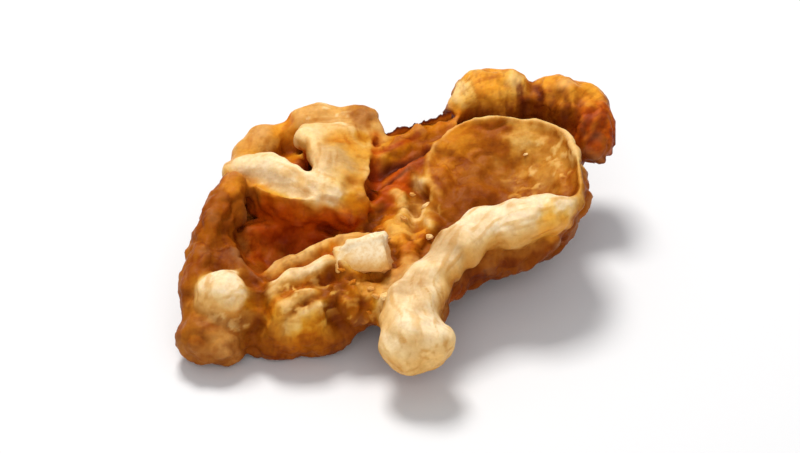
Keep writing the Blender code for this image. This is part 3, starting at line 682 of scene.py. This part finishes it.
def outer_skin(verts, faces):
    """The largest connected skin alone, without the closed bubbles between the parts inside.

    Every point takes the lowest label among its neighbours' over and over, so that each skin ends
    with one label.
    """
    label = np.arange(len(verts))
    while True:
        lowest = label[faces].min(1)
        spread = label.copy()
        for k in range(4):
            np.minimum.at(spread, faces[:, k], lowest)
        spread = spread[spread]
        if np.array_equal(spread, label):
            break
        label = spread
    kept = label == np.bincount(label).argmax()
    return verts[kept], (np.cumsum(kept) - 1)[faces[kept[faces[:, 0]]]]


class Surface:
    """A closed four-sided mesh as arrays, with the averages and normals that its relief needs."""

    def __init__(self, verts, faces):
        self.verts = verts
        self.faces = faces
        pairs = np.concatenate([faces[:, [k, (k + 1) % 4]] for k in range(4)])
        pairs = np.unique(np.sort(pairs, axis=1), axis=0)
        self.here = np.concatenate([pairs[:, 0], pairs[:, 1]])
        self.there = np.concatenate([pairs[:, 1], pairs[:, 0]])
        self.degree = np.bincount(self.here, minlength=len(verts))

    def blurred(self, values, passes):
        """Each point's value averaged with the mean of its neighbours' values, over and over."""
        values = values.astype(float)
        for _ in range(passes):
            gathered = np.stack([
                np.bincount(self.here, weights=column[self.there], minlength=len(values))
                for column in values.T
            ], -1)
            values = 0.4 * values + 0.6 * gathered / self.degree[:, None]
        return values

    def normals(self):
        """The sum of the face normals round each point, made unit."""
        a, b, c, d = (self.verts[self.faces[:, k]] for k in range(4))
        across = np.cross(c - a, d - b)
        total = np.zeros_like(self.verts)
        for k in range(4):
            for axis in range(3):
                total[:, axis] += np.bincount(
                    self.faces[:, k], weights=across[:, axis], minlength=len(total)
                )
        return unit(total)

    def moved(self, distance):
        """Moves each point along its normal."""
        self.verts = self.verts + self.normals() * distance[:, None]


def noise(points, size, seed=0):
    """Gradient noise between about -1 and 1.

    Each corner of the unit cell round a point has its own random direction. The value is the dot
    product of that direction with the way from the corner, blended over the eight corners by
    6t^5 - 15t^4 + 10t^3 along each axis.
    """
    p = points / np.asarray(size) + seed * SEED_SHIFT
    base = np.floor(p).astype(np.int64)
    t = p - base
    fade = t**3 * (t * (6 * t - 15) + 10)
    total = np.zeros(len(p))
    for corner in np.ndindex(2, 2, 2):
        mixed = np.bitwise_xor.reduce((base + corner) * CELL_PRIMES, axis=1) ^ (seed * SEED_PRIME)
        mixed = (mixed ^ (mixed >> 13)) * MIXER & 0xFFFFFFFF
        mixed ^= mixed >> 16
        angle = (mixed & 1023) * (2 * math.pi / 1024)
        height = ((mixed >> 10) & 1023) / 511.5 - 1
        flat = np.sqrt(1 - height**2)
        way = t - corner
        dot = flat * (way[:, 0] * np.cos(angle) + way[:, 1] * np.sin(angle)) + way[:, 2] * height
        total += dot * np.prod(np.where(corner, fade, 1 - fade), axis=1)
    return total * 1.5


def stained(colour, share, other):
    """A logarithm of a colour, run into another's by a share at each point."""
    share = share[:, None]
    return colour * (1 - share) + other * share


def flesh_colour(verts, normals, parts, pigments):
    """The colour, dark lines and grain at each point, from the parts that lie nearest to it.

    Each part counts by a bell curve of its distance, and its colour runs from the flanks' pigment to
    the crests' as the skin turns upwards: partly the crests' own paler skin, and partly painted light
    on the tops with painted shade on the flanks. Grain is noise in the straightened frame of a fold,
    where one number runs along its path and two across: fibres are drawn out along the path, lines
    across it, and lumps are as long as they are wide.
    """
    colour, crossed = np.zeros((len(verts), 3)), np.zeros(len(verts))
    grain = {name: np.zeros(len(verts)) for name in GRAIN}
    total, path_total = np.full(len(verts), 1e-9), np.full(len(verts), 1e-4)
    upward = normals[:, 2] + 0.3 * noise(verts, 2.2, 8)
    # Painted light and shade: skin that faces upwards takes the crests' paler pigment, partly its own crest
    # colour and partly light from above
    crest = np.clip((upward + 0.05) / 0.8, 0, 1)
    for number, (name, (_, _, (core, radius))) in enumerate(parts.items()):
        inside = (verts > core.min(0) - PART_REACH) & (verts < core.max(0) + PART_REACH)
        close = np.flatnonzero(inside.all(1))
        here = verts[close]
        radius = np.broadcast_to(radius, len(core))
        gaps = np.linalg.norm(here[:, None] - core[None], axis=2) - radius
        which = gaps.argmin(1)
        depth = np.maximum(gaps.min(1), -0.4) + 0.4
        wander = 0.35 * noise(here, 1.6, 11) + 0.15 * noise(here, 0.6, 12)
        reach = np.clip(0.08 + 0.5 * radius, 0.28, 0.7)[which]
        weight = np.exp(-((depth + wander) / reach) ** 2)
        top, flank, lines = SKIN.get(name, FOLD_SKIN)
        colour[close] += weight[:, None] * stained(pigments[flank], crest[close], pigments[top])
        crossed[close] += weight * lines
        total[close] += weight
        if name in INNER_RIDGES or name in OUTER_FOLDS:
            run = np.concatenate([[0], np.cumsum(np.linalg.norm(np.diff(core, axis=0), axis=1))])
            straight = np.stack([
                np.einsum("ij,ij->i", here - core[which], way[which]) for way in directions(core)
            ], -1)
            straight[:, 0] += run[which] + GRAIN_SHIFT * number
            weight = np.exp(-(depth / 1.1) ** 2)
            for key, (size, seed) in GRAIN.items():
                grain[key][close] += weight * noise(straight, size, seed)
            path_total[close] += weight**2
    for key in grain:
        grain[key] /= np.sqrt(path_total)
    return colour / total[:, None], crossed / total, grain


def furrows_in(verts, colour, pigments):
    """The colour with the furrows' pigments in it, and how deep the furrows are at each point."""
    furrowed = np.zeros(len(verts))
    uneven = 1 + 0.45 * noise(verts, 0.8, 15)
    for points, width, depth, name, share in FURROWS:
        path = smooth_path(points, 12)
        gaps = (verts[:, None] - path[None]) * (1, 1, 0.35 if depth else 1)
        across = np.sqrt(np.einsum("ijk,ijk->ij", gaps, gaps).min(1)) / width
        cut = np.exp(-across**2) * uneven
        furrowed += depth * cut * (across < 3)
        colour = stained(colour, share * np.clip(1.3 * cut, 0, 1), pigments[name])
    return colour, np.minimum(furrowed, 0.6)


def flakes_on(verts, colour, pigments):
    """The colour with the pale flakes on it, and how thick the flakes are at each point."""
    patches = noise(verts, (1.1, 0.8, 0.8), 33) + 0.5 * noise(verts, 0.4, 34)
    flaky = np.zeros(len(verts))
    for x, y, z, radius, name in FLAKES:
        inside = np.clip(1.6 - 1.6 * np.linalg.norm(verts - (x, y, z), axis=1) / radius, 0, 1)
        flake = np.clip((patches + 0.25 * inside - 0.4) / 0.2, 0, 0.7) * np.clip(2 * inside, 0, 1)
        flaky = np.maximum(flaky, flake)
        colour = stained(colour, flake, pigments[name])
    return colour, 0.08 * flaky


def skin_of(verts, normals, parts, pigments):
    """What the skin is like at each point: its colour, its cross lines, its grain and its furrows.

    Pigments are mixed as paints are, by their logarithms, so that cream runs into brown through gold.
    """
    pigments = {name: np.log(np.maximum(value, 0.002)) for name, value in pigments.items()}
    colour, crossed, grain = flesh_colour(verts, normals, parts, pigments)
    colour, furrowed = furrows_in(verts, colour, pigments)
    colour, flaky = flakes_on(verts, colour, pigments)
    ragged = 0.35 * noise(verts, 1.1, 13) + 0.2 * noise(verts, 0.45, 14)
    for x, y, z, radius, name, share in TINTS:
        inside = 1 - np.linalg.norm(verts - (x, y, z), axis=1) / radius + ragged
        colour = stained(colour, share * np.clip(inside / 0.55, 0, 1), pigments[name])
    return {"colour": np.exp(colour), "crossed": crossed, "furrowed": furrowed - flaky, **grain}


def soft_balls(verts, balls):
    """How far inside any of some balls each point is: 1 within half the radius, 0 outside."""
    found = np.zeros(len(verts))
    for x, y, z, radius in balls:
        far = np.linalg.norm(verts - (x, y, z), axis=1) / radius
        found = np.maximum(found, np.clip(2 - 2 * far, 0, 1))
    return found


def lined(values):
    """Thin lines where noise passes through 0: 1 on the line and 0 a little way off."""
    return np.clip(1 - np.abs(values) / 0.22, 0, 1)


def dressed_kernel(shape, pigments):
    """The kernel's mesh arrays and what its skin is painted from.

    The fused parts are rounded a little and sharpened back by a share of their distance from a
    blurred copy. Hollows and creases are where the skin rises when it is blurred a lot or a little.
    Then each point moves along its normal by a sum: the folds' lumps and fibres and a fine noise,
    less the furrows and the cross lines, with creases where the skin is dark, and with pits and
    grains where the flesh is crumbled.
    """
    parts = flesh_parts()
    surface = Surface(*grown_together(parts, shape))
    surface.verts = surface.blurred(surface.verts, ROUND_PASSES)
    skin = skin_of(surface.verts, surface.normals(), parts, pigments)
    crumbled = soft_balls(surface.verts, CRUMBLED)
    surface.verts = surface.verts + 0.35 * (surface.verts - surface.blurred(surface.verts, EDGE_PASSES))
    normal = surface.normals()
    # How deep each point lies in a hollow and in a crease; the material paints shade from these
    for key, passes in (("hollow", HOLLOW_PASSES), ("crease", CREASE_PASSES)):
        way = surface.blurred(surface.verts, passes) - surface.verts
        skin[key] = np.einsum("ij,ij->i", way, normal)

    verts, wrinkle = surface.verts, shape.wrinkles / MM
    relief = 0.15 * skin.pop("lumps") - skin.pop("furrowed")
    relief += wrinkle * (0.7 * skin["fibres"] - 1.4 * skin["crossed"] * lined(skin["lines"]))
    relief += wrinkle * 1.5 * noise(verts, 0.9, 2)
    skin["crinkled"] = np.clip((0.42 - skin["colour"] @ (0.2, 0.7, 0.1)) / 0.2, 0, 1)
    creased = lined(0.9 * noise(verts, 1.7, 35)) + 0.6 * lined(1.1 * noise(verts, 0.9, 36))
    relief += skin["crinkled"] * wrinkle * (2.4 * np.abs(noise(verts, 1.3, 37)) - 2.4 * creased)
    pits = np.minimum(noise(verts, 0.75, 5), 0) + 0.6 * np.minimum(noise(verts, 0.4, 6), 0)
    rough = noise(verts, 1.6, 31) + 1.2 * np.abs(noise(verts, 0.9, 32)) - 0.3
    relief += crumbled * shape.crumbs / MM * (pits + 0.3 + rough)
    surface.moved(relief)
    surface.verts = inside_the_box(surface.blurred(surface.verts, 1) - MIDDLE)
    skin["lines"] = skin.pop("crossed") * lined(skin["lines"])
    return surface, skin


def inside_the_box(verts):
    """Points in millimetres, held inside the solid's box."""
    return np.clip(verts, CAD_LOW / MM + BOX_MARGIN, CAD_HIGH / MM - BOX_MARGIN)


def loose_crumbs(skin, pigments):
    """The crumbs' mesh arrays and colours.

    Each is a ball of few faces whose points are pushed in and out by noise, flattened, and set a
    third into the highest point of the skin near its place.
    """
    ball = sphere(7, 9).reshape(-1, 3)
    faces = grid_faces(7, 9, ring=True)[:, ::-1]
    verts, quads, colours = [], [], []
    for number, (x, y, size, name) in enumerate(CRUMBS):
        near = skin[np.hypot(skin[:, 0] - (x - MIDDLE[0]), skin[:, 1] - (y - MIDDLE[1])) < 0.25]
        seat = near[near[:, 2].argmax()]
        reach = 1 + 0.6 * noise(ball + 9.7 * number, 0.7, 21)[:, None]
        chip = turned(ball * reach * (1.1, 0.7, 0.5), 47 * number % 70 - 35, 31 * number % 70 - 35)
        verts.append(chip * size * 0.6 + seat + (0, 0, size * 0.06))
        quads.append(faces + len(ball) * number)
        colours.append(np.repeat(pigments[name][None], len(ball), axis=0))
    return inside_the_box(np.concatenate(verts)), np.concatenate(quads), np.concatenate(colours)


def broken_chip(pigments):
    """The chip's mesh arrays and colours.

    A box with soft edges, as the solid's broken piece: a sphere whose sines and cosines are raised to
    a small power, made wider and higher to the right. Its points are pushed in by noise of which only
    the high side counts, so that its faces stay flat between the dents.
    """
    centre, half_axes, turn = BLOCKS["broken_nub"]
    box = sphere(25, 40, bent=lambda wave: np.sign(wave) * np.abs(wave) ** 0.3).reshape(-1, 3)
    right = box[:, :1]
    dents = np.maximum(noise(box * half_axes + 3.3, 1.3, 51), -0.1)[:, None]
    ragged = noise(box * half_axes, 0.5, 52)[:, None]
    verts = box * half_axes * np.concatenate([np.ones_like(right), 1 + 0.1 * right, 1.15 + 0.2 * right], 1)
    verts *= 0.98 - 0.5 * dents + 0.12 * ragged
    edge = np.clip(np.abs(right) ** 5 + np.abs(box[:, 2:]) ** 5 - 0.5, 0, 0.6)
    # The tan share grows at the edges and towards the left, and towards the bottom as painted shade
    share = np.clip(0.2 + edge - 0.9 * box[:, 2:] - 0.4 * right + 0.8 * ragged, 0, 1) * 0.9
    colours = np.exp(np.log(pigments["cream"]) * (1 - share) + np.log(pigments["tan"]) * share)
    faces = grid_faces(25, 40, ring=True)[:, ::-1]
    return inside_the_box(turned(verts, *turn) + centre - MIDDLE), faces, colours


def papery_frill(pigments):
    """The frill's mesh arrays and colours.

    A strip stands on a smooth path. Its height is noise along the path, cut off below, and it leans
    to and fro by slower noise. The strip is thickened along its normals.
    """
    foot = smooth_path(FRILL, 60)
    run = np.arange(len(foot)) * FRILL_STEP
    line = np.stack([run, run * 0, run * 0], -1)
    height = 0.15 + 0.4 * np.clip(noise(line, 0.55, 41) + 0.35, 0, 1)
    height += 0.25 * np.clip(noise(line, 0.2, 42), 0, 1)
    lean = 0.5 * noise(line, 0.9, 43)
    up = np.linspace(-1.6, 1, 9)[None, :, None]
    rise = np.stack([0.3 * lean, lean, 1 + lean * 0], -1)[:, None] * height[:, None, None]
    spread = np.stack(np.broadcast_arrays(run[:, None], up[..., 0] * 0.8, 0 * run[:, None]), -1)
    wave = 0.12 * noise(spread.reshape(-1, 3), 0.35, 44).reshape(len(foot), -1, 1)
    grid = foot[:, None] + rise * up + wave * np.array([0.3, 1.0, 0.2])
    verts, faces, _ = slab(grid, 0.14, 0)
    share = np.clip(np.tile(np.broadcast_to(up[..., 0], grid.shape[:2]).ravel(), 2), 0, 1)[:, None]
    colours = pigments["amber"] * (1 - share) + pigments["dark"] * share
    return inside_the_box(verts - MIDDLE), faces, colours


class Nodes:
    """A short way to write a material's node tree."""

    def __init__(self, name):
        self.material = bpy.data.materials.new(name)
        self.material.use_nodes = True
        self.tree = self.material.node_tree
        self.shader = self.tree.nodes["Principled BSDF"]

    def put(self, socket, value):
        """Sets a socket to a value, or links it from another node's output."""
        if isinstance(value, bpy.types.NodeSocket):
            self.tree.links.new(value, socket)
        elif socket.type == "RGBA":
            socket.default_value = (*value[:3], 1)
        else:
            socket.default_value = value

    def node(self, kind, inputs, **settings):
        """The outputs of a new node, whose settings come before its inputs."""
        made = self.tree.nodes.new("ShaderNode" + kind)
        for name, value in settings.items():
            setattr(made, name, value)
        for name, value in inputs.items():
            self.put(made.inputs[name], value)
        return made.outputs

    def attribute(self, name, output="Fac"):
        return self.node("Attribute", {}, attribute_name=name)[output]

    def maths(self, operation, a, b=0.0):
        return self.node("Math", {0: a, 1: b}, operation=operation)[0]

    def between(self, value, low, high, to_low=0.0, to_high=1.0):
        """Runs smoothly from one number to another while the value runs from low to high."""
        span = {"Value": value, "From Min": low, "From Max": high, "To Min": to_low, "To Max": to_high}
        return self.node("MapRange", span, interpolation_type="SMOOTHSTEP")[0]

    def noise(self, size, detail=3.0, roughness=0.55):
        """Noise on object coordinates, with features of about the given size in metres."""
        where = self.node("TexCoord", {})["Object"]
        look = {"Vector": where, "Scale": 1 / size, "Detail": detail, "Roughness": roughness}
        return self.node("TexNoise", look)["Fac"]

    def mix(self, share, a, b, blend="MIX"):
        return self.node("Mix", {0: share, 6: a, 7: b}, data_type="RGBA", blend_type=blend)[2]

    def darkened(self, share, colour, stain):
        return self.mix(share, colour, stain, "MULTIPLY")

    def bump(self, height, distance, strength, under=None):
        relief = {"Strength": strength, "Distance": distance, "Height": height}
        if under is not None:
            relief["Normal"] = under
        return self.node("Bump", relief)[0]

    def finished(self, sockets):
        """The material, once the shader's sockets are set or linked."""
        for name, value in sockets.items():
            self.put(self.shader.inputs[name], value)
        return self.material


def shade(red, green, blue):
    """A linear colour from display values of 0 to 255."""
    values = np.array([red, green, blue]) / 255
    return tuple(np.where(values <= 0.04045, values / 12.92, ((values + 0.055) / 1.055) ** 2.4).tolist())


def skin_material():
    """The papery skin: its pigment from the mesh, painted shade in creases and hollows, mottling, pale edges
    (worn skin and painted highlight) and a soft gloss.
    """
    n = Nodes("walnut_skin")
    crease, hollow = n.attribute("crease"), n.attribute("hollow")
    dark_skin = n.between(n.attribute("crinkled"), 0.0, 1.0)

    # Painted shade: darker in creases and in hollows, where the skin turns inwards
    colour = n.darkened(n.between(crease, 0.0, 0.16), n.attribute("colour", "Color"), (0.6, 0.42, 0.24))
    colour = n.darkened(n.between(hollow, 0.2, 1.8), colour, (0.85, 0.68, 0.45))
    stain = n.between(n.noise(0.0036), 0.46, 0.62, 0.0, 0.7)
    colour = n.darkened(stain, colour, (0.94, 0.82, 0.62))
    mottle = n.between(n.noise(0.0016, detail=4), 0.44, 0.66)
    mottle = n.maths("MULTIPLY", mottle, n.between(dark_skin, 0.0, 1.0, 0.5, 1.0))
    colour = n.darkened(mottle, colour, (0.76, 0.64, 0.48))
    fine = n.between(n.noise(0.00035, detail=2), 0.35, 0.75, 0.0, 0.6)
    colour = n.darkened(fine, colour, (0.86, 0.8, 0.7))
    colour = n.darkened(n.between(n.attribute("fibres"), 0.0, 0.55), colour, (0.84, 0.7, 0.5))

    away = n.maths("ABSOLUTE", n.maths("SUBTRACT", n.noise(0.0026, roughness=0.5), 0.5))
    veins = n.maths("MULTIPLY", n.between(away, 0.0, 0.045, 1.0, 0.0), n.between(n.noise(0.005), 0.42, 0.62))
    veins = n.maths("MULTIPLY", veins, n.between(hollow, 0.2, 1.2, 0.7, 0.1))
    veins = n.maths("MULTIPLY", veins, n.between(dark_skin, 0.0, 1.0, 0.2, 1.0))
    colour = n.darkened(veins, colour, (0.7, 0.5, 0.3))
    colour = n.darkened(n.attribute("lines"), colour, (0.42, 0.22, 0.1))
    # Paler on sharp outward edges: partly rubbed skin, partly a painted highlight
    rubbed_edge_and_highlight = n.between(crease, -0.04, -0.14, 0.0, 0.3)
    rubbed_edge_and_highlight = n.maths("MULTIPLY", rubbed_edge_and_highlight, n.between(dark_skin, 0.0, 1.0, 1.0, 0.25))

    under = n.bump(n.noise(0.0006, detail=5, roughness=0.65), 0.00018, 0.5)
    under = n.bump(n.maths("SUBTRACT", 1.0, veins), 0.00008, 0.6, under)
    return n.finished({
        "Base Color": n.mix(rubbed_edge_and_highlight, colour, shade(252, 216, 150)),
        "Roughness": n.between(n.noise(0.0008), 0.3, 0.7, 0.34, 0.52),
        "Specular IOR Level": 0.05,
        "Subsurface Weight": 0.12,
        "Subsurface Radius": (1.0, 0.4, 0.12),
        "Subsurface Scale": 0.0008,
        "Normal": n.bump(n.noise(0.00016, detail=2), 0.00003, 0.5, under),
    })


def crumb_material():
    """Bare crumbs: their own pigment with a grainy break-up, and matt."""
    n = Nodes("walnut_crumb")
    grain = n.noise(0.0003)
    return n.finished({
        "Base Color": n.darkened(
            n.between(grain, 0.35, 0.7), n.attribute("colour", "Color"), (0.9, 0.78, 0.62)
        ),
        "Roughness": n.between(grain, 0.3, 0.7, 0.5, 0.7),
        "Specular IOR Level": 0.16,
        "Normal": n.bump(grain, 0.00004, 0.4),
    })


def floor_material(colours):
    """Matt pale paper with a faint tooth."""
    n = Nodes("pale_paper")
    tooth = n.noise(0.0012)
    return n.finished({
        "Base Color": n.mix(n.between(tooth, 0.3, 0.7, 0.0, 0.03), colours.paper, (0.8, 0.79, 0.77)),
        "Roughness": 0.75,
        "Specular IOR Level": 0.2,
        "Normal": n.bump(tooth, 0.00002, 0.3),
    })


def length(name, description, default, least, most):
    """A length property; its numbers are in millimetres."""
    return FloatProperty(
        name=name, description=description, default=default * MM, min=least * MM, max=most * MM,
        precision=6, subtype="DISTANCE", unit="LENGTH",
    )


def pigment(name, description, *display):
    """A colour property, from display values of 0 to 255."""
    return FloatVectorProperty(
        name=name, description=description, subtype="COLOR", size=3, default=shade(*display), min=0, max=1,
    )


class KernelShape(bpy.types.PropertyGroup):
    """Sizes of the kernel's surface."""

    grain: length("Grain", "Size of the faces that the skin is made of", 0.205, 0.12, 0.6)
    unevenness: length("Unevenness", "How far the folds wander from a plain tube", 1.3, 0, 3)
    lump_size: length("Lump size", "Length over which the folds wander", 2.6, 1, 8)
    wrinkles: length("Wrinkles", "Height of the skin's fine wrinkles", 0.075, 0, 0.3)
    crumbs: length("Crumbs", "Depth of the pits where the flesh is crumbled", 0.4, 0, 1)


class KernelColours(bpy.types.PropertyGroup):
    """Pigments of the kernel's skin, and the floor's colour."""

    cream: pigment("Cream", "The palest skin, on the rolled rims", 250, 226, 186)
    fawn: pigment("Fawn", "Dull pale skin on the ridge's neck and the branch", 206, 168, 118)
    straw: pigment("Straw", "Pale skin beside the rims", 240, 202, 138)
    tan: pigment("Tan", "Light skin on the shoulders of the folds", 222, 164, 84)
    honey: pigment("Honey", "Golden skin that the light shines into", 198, 116, 10)
    gold: pigment("Gold", "Golden skin of the outer lobes", 236, 160, 46)
    olive: pigment("Olive", "The floor of the shallow right hollow", 164, 88, 10)
    brown: pigment("Brown", "The outer side", 172, 108, 46)
    amber: pigment("Amber", "The bridge and the web behind it", 196, 104, 10)
    russet: pigment("Russet", "The deep hollows", 190, 78, 2)
    chestnut: pigment("Chestnut", "The darkest skin, low on the outer side", 140, 70, 8)
    dark: pigment("Dark", "The bottoms of the furrows", 96, 34, 4)
    paper: FloatVectorProperty(
        name="Paper", description="The pale floor", subtype="COLOR", size=4,
        default=(0.79, 0.79, 0.8, 1), min=0, max=1,
    )


def pigments_of(colours):
    """Each pigment's name and its linear colour."""
    return {
        name: np.array(getattr(colours, name)) for name in colours.bl_rna.properties.keys()
        if name not in ("rna_type", "name", "paper")
    }


class StageSetting(bpy.types.PropertyGroup):
    """Camera and light."""

    elevation: FloatProperty(
        name="Elevation", description="Angle of the camera above the floor",
        default=math.radians(35), min=0, max=math.radians(89), subtype="ANGLE", unit="ROTATION",
    )
    framed_width: length("Framed width", "Width of the view at the half", 62, 30, 200)
    main_light: FloatProperty(
        name="Main light", description="Power of the soft light from the upper left",
        default=0.82, min=0, unit="POWER",
    )
    sky: FloatProperty(name="Sky", description="Strength of the even white light", default=0.41, min=0)


def painted_piece(name, verts, faces, paint, material):
    """An object of points in millimetres, welded where they meet, with values that its material reads."""
    piece = bpy.data.objects.new(name, new_mesh(name, verts, faces))
    bpy.context.scene.collection.objects.link(piece)
    piece.data.shade_smooth()
    for key, values in paint.items():
        if values.ndim == 2:
            layer = piece.data.attributes.new(key, "FLOAT_COLOR", "POINT")
            rgba = np.concatenate([values, np.ones((len(values), 1))], axis=1)
            layer.data.foreach_set("color", rgba.astype(np.float32).ravel())
        else:
            layer = piece.data.attributes.new(key, "FLOAT", "POINT")
            layer.data.foreach_set("value", values.astype(np.float32))
    piece.data.materials.append(material)
    shape = bmesh.new()
    shape.from_mesh(piece.data)
    bmesh.ops.remove_doubles(shape, verts=shape.verts, dist=WELD)
    shape.to_mesh(piece.data)
    shape.free()
    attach(piece, "root")
    return piece


class WALNUT_OT_kernel(bpy.types.Operator):
    """Builds the kernel half with its wrinkles, hollows and skin"""

    bl_idname = "walnut.kernel"
    bl_label = "Kernel half"

    def execute(self, context):
        pigments = pigments_of(context.scene.walnut_colours)
        surface, paint = dressed_kernel(context.scene.walnut_shape, pigments)
        piece = painted_piece("walnut_kernel", surface.verts, surface.faces, paint, skin_material())
        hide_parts("kernel_half")
        return {"FINISHED"}


class WALNUT_OT_chip(bpy.types.Operator):
    """Builds the broken piece with flat faces that sticks out of the front crest"""

    bl_idname = "walnut.chip"
    bl_label = "Broken chip"

    def execute(self, context):
        verts, faces, colours = broken_chip(pigments_of(context.scene.walnut_colours))
        painted_piece("walnut_chip", verts, faces, {"colour": colours}, crumb_material())
        return {"FINISHED"}


class WALNUT_OT_frill(bpy.types.Operator):
    """Builds the papery frill on the web's back edge"""

    bl_idname = "walnut.frill"
    bl_label = "Papery frill"

    def execute(self, context):
        verts, faces, colours = papery_frill(pigments_of(context.scene.walnut_colours))
        painted_piece("walnut_frill", verts, faces, {"colour": colours}, crumb_material())
        return {"FINISHED"}


class WALNUT_OT_crumbs(bpy.types.Operator):
    """Builds the loose crumbs that stick to the kernel; the kernel has to be there"""

    bl_idname = "walnut.crumbs"
    bl_label = "Crumbs"

    def execute(self, context):
        skin = points_of(bpy.data.objects["walnut_kernel"].data)
        verts, faces, colours = loose_crumbs(skin, pigments_of(context.scene.walnut_colours))
        piece = painted_piece("walnut_crumbs", verts, faces, {"colour": colours}, crumb_material())
        piece.data.shade_flat()
        return {"FINISHED"}


class WALNUT_OT_stage(bpy.types.Operator):
    """Builds the pale floor, the soft lights and the camera"""

    bl_idname = "walnut.stage"
    bl_label = "Stage"

    def execute(self, context):
        scene = context.scene
        setting = scene.walnut_stage
        mesh = bpy.data.meshes.new("floor")
        corners = [(FLOOR_REACH * x, FLOOR_REACH * y, 0) for x, y in ((-1, -1), (1, -1), (1, 1), (-1, 1))]
        mesh.from_pydata(corners, [], [(0, 1, 2, 3)])
        floor = bpy.data.objects.new("floor", mesh)
        mesh.materials.append(floor_material(scene.walnut_colours))
        scene.collection.objects.link(floor)
        floor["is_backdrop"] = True

        world = bpy.data.worlds.new("even_light")
        scene.world = world
        world.use_nodes = True
        sky = world.node_tree.nodes["Background"].inputs
        sky["Color"].default_value = (0.95, 0.975, 1.0, 1)
        sky["Strength"].default_value = setting.sky
        for name, place, size, power, colour in LIGHTS:
            light = bpy.data.lights.new(name, "AREA")
            light.size = size
            light.energy = setting.main_light * power
            light.color = colour
            lamp = bpy.data.objects.new(name, light)
            lamp.location = place
            lamp.rotation_mode = "QUATERNION"
            lamp.rotation_quaternion = (Vector(LIT_POINT) - lamp.location).to_track_quat("-Z", "Y")
            scene.collection.objects.link(lamp)

        data = bpy.data.cameras.new("camera")
        data.lens = LENS
        data.sensor_width = SENSOR
        data.clip_start = 0.01
        camera = bpy.data.objects.new("camera", data)
        angle = setting.elevation
        back = Vector((0, -math.cos(angle), math.sin(angle)))
        low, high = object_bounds()
        camera.location = (low + high) / 2 + back * (setting.framed_width * LENS / SENSOR)
        camera.rotation_mode = "QUATERNION"
        camera.rotation_quaternion = (-back).to_track_quat("-Z", "Y")
        scene.collection.objects.link(camera)
        scene.camera = camera
        scene.view_settings.view_transform = "Standard"
        return {"FINISHED"}


class WALNUT_PT_half(bpy.types.Panel):
    """Lists the pieces and their settings."""

    bl_idname = "WALNUT_PT_half"
    bl_label = "Walnut half"
    bl_space_type = "VIEW_3D"
    bl_region_type = "UI"
    bl_category = "Walnut"

    def draw(self, context):
        layout = self.layout
        for group, operators in (
            (context.scene.walnut_shape, (WALNUT_OT_kernel,)),
            (context.scene.walnut_colours, (WALNUT_OT_chip, WALNUT_OT_frill, WALNUT_OT_crumbs)),
            (context.scene.walnut_stage, (WALNUT_OT_stage,)),
        ):
            box = layout.box()
            for name in group.bl_rna.properties.keys():
                if name not in ("rna_type", "name"):
                    box.prop(group, name)
            for operator in operators:
                box.operator(operator.bl_idname)


CLASSES = (
    KernelShape, KernelColours, StageSetting, WALNUT_OT_kernel, WALNUT_OT_chip, WALNUT_OT_frill,
    WALNUT_OT_crumbs, WALNUT_OT_stage, WALNUT_PT_half,
)


def register():
    for cls in CLASSES:
        bpy.utils.register_class(cls)
    bpy.types.Scene.walnut_shape = PointerProperty(type=KernelShape)
    bpy.types.Scene.walnut_colours = PointerProperty(type=KernelColours)
    bpy.types.Scene.walnut_stage = PointerProperty(type=StageSetting)


def unregister():
    del bpy.types.Scene.walnut_stage
    del bpy.types.Scene.walnut_colours
    del bpy.types.Scene.walnut_shape
    for cls in reversed(CLASSES):
        bpy.utils.unregister_class(cls)


def main():
    """Builds every piece."""
    register()
    bpy.ops.walnut.kernel()
    bpy.ops.walnut.chip()
    bpy.ops.walnut.frill()
    bpy.ops.walnut.crumbs()
    bpy.ops.walnut.stage()


if __name__ == "__main__":
    main()
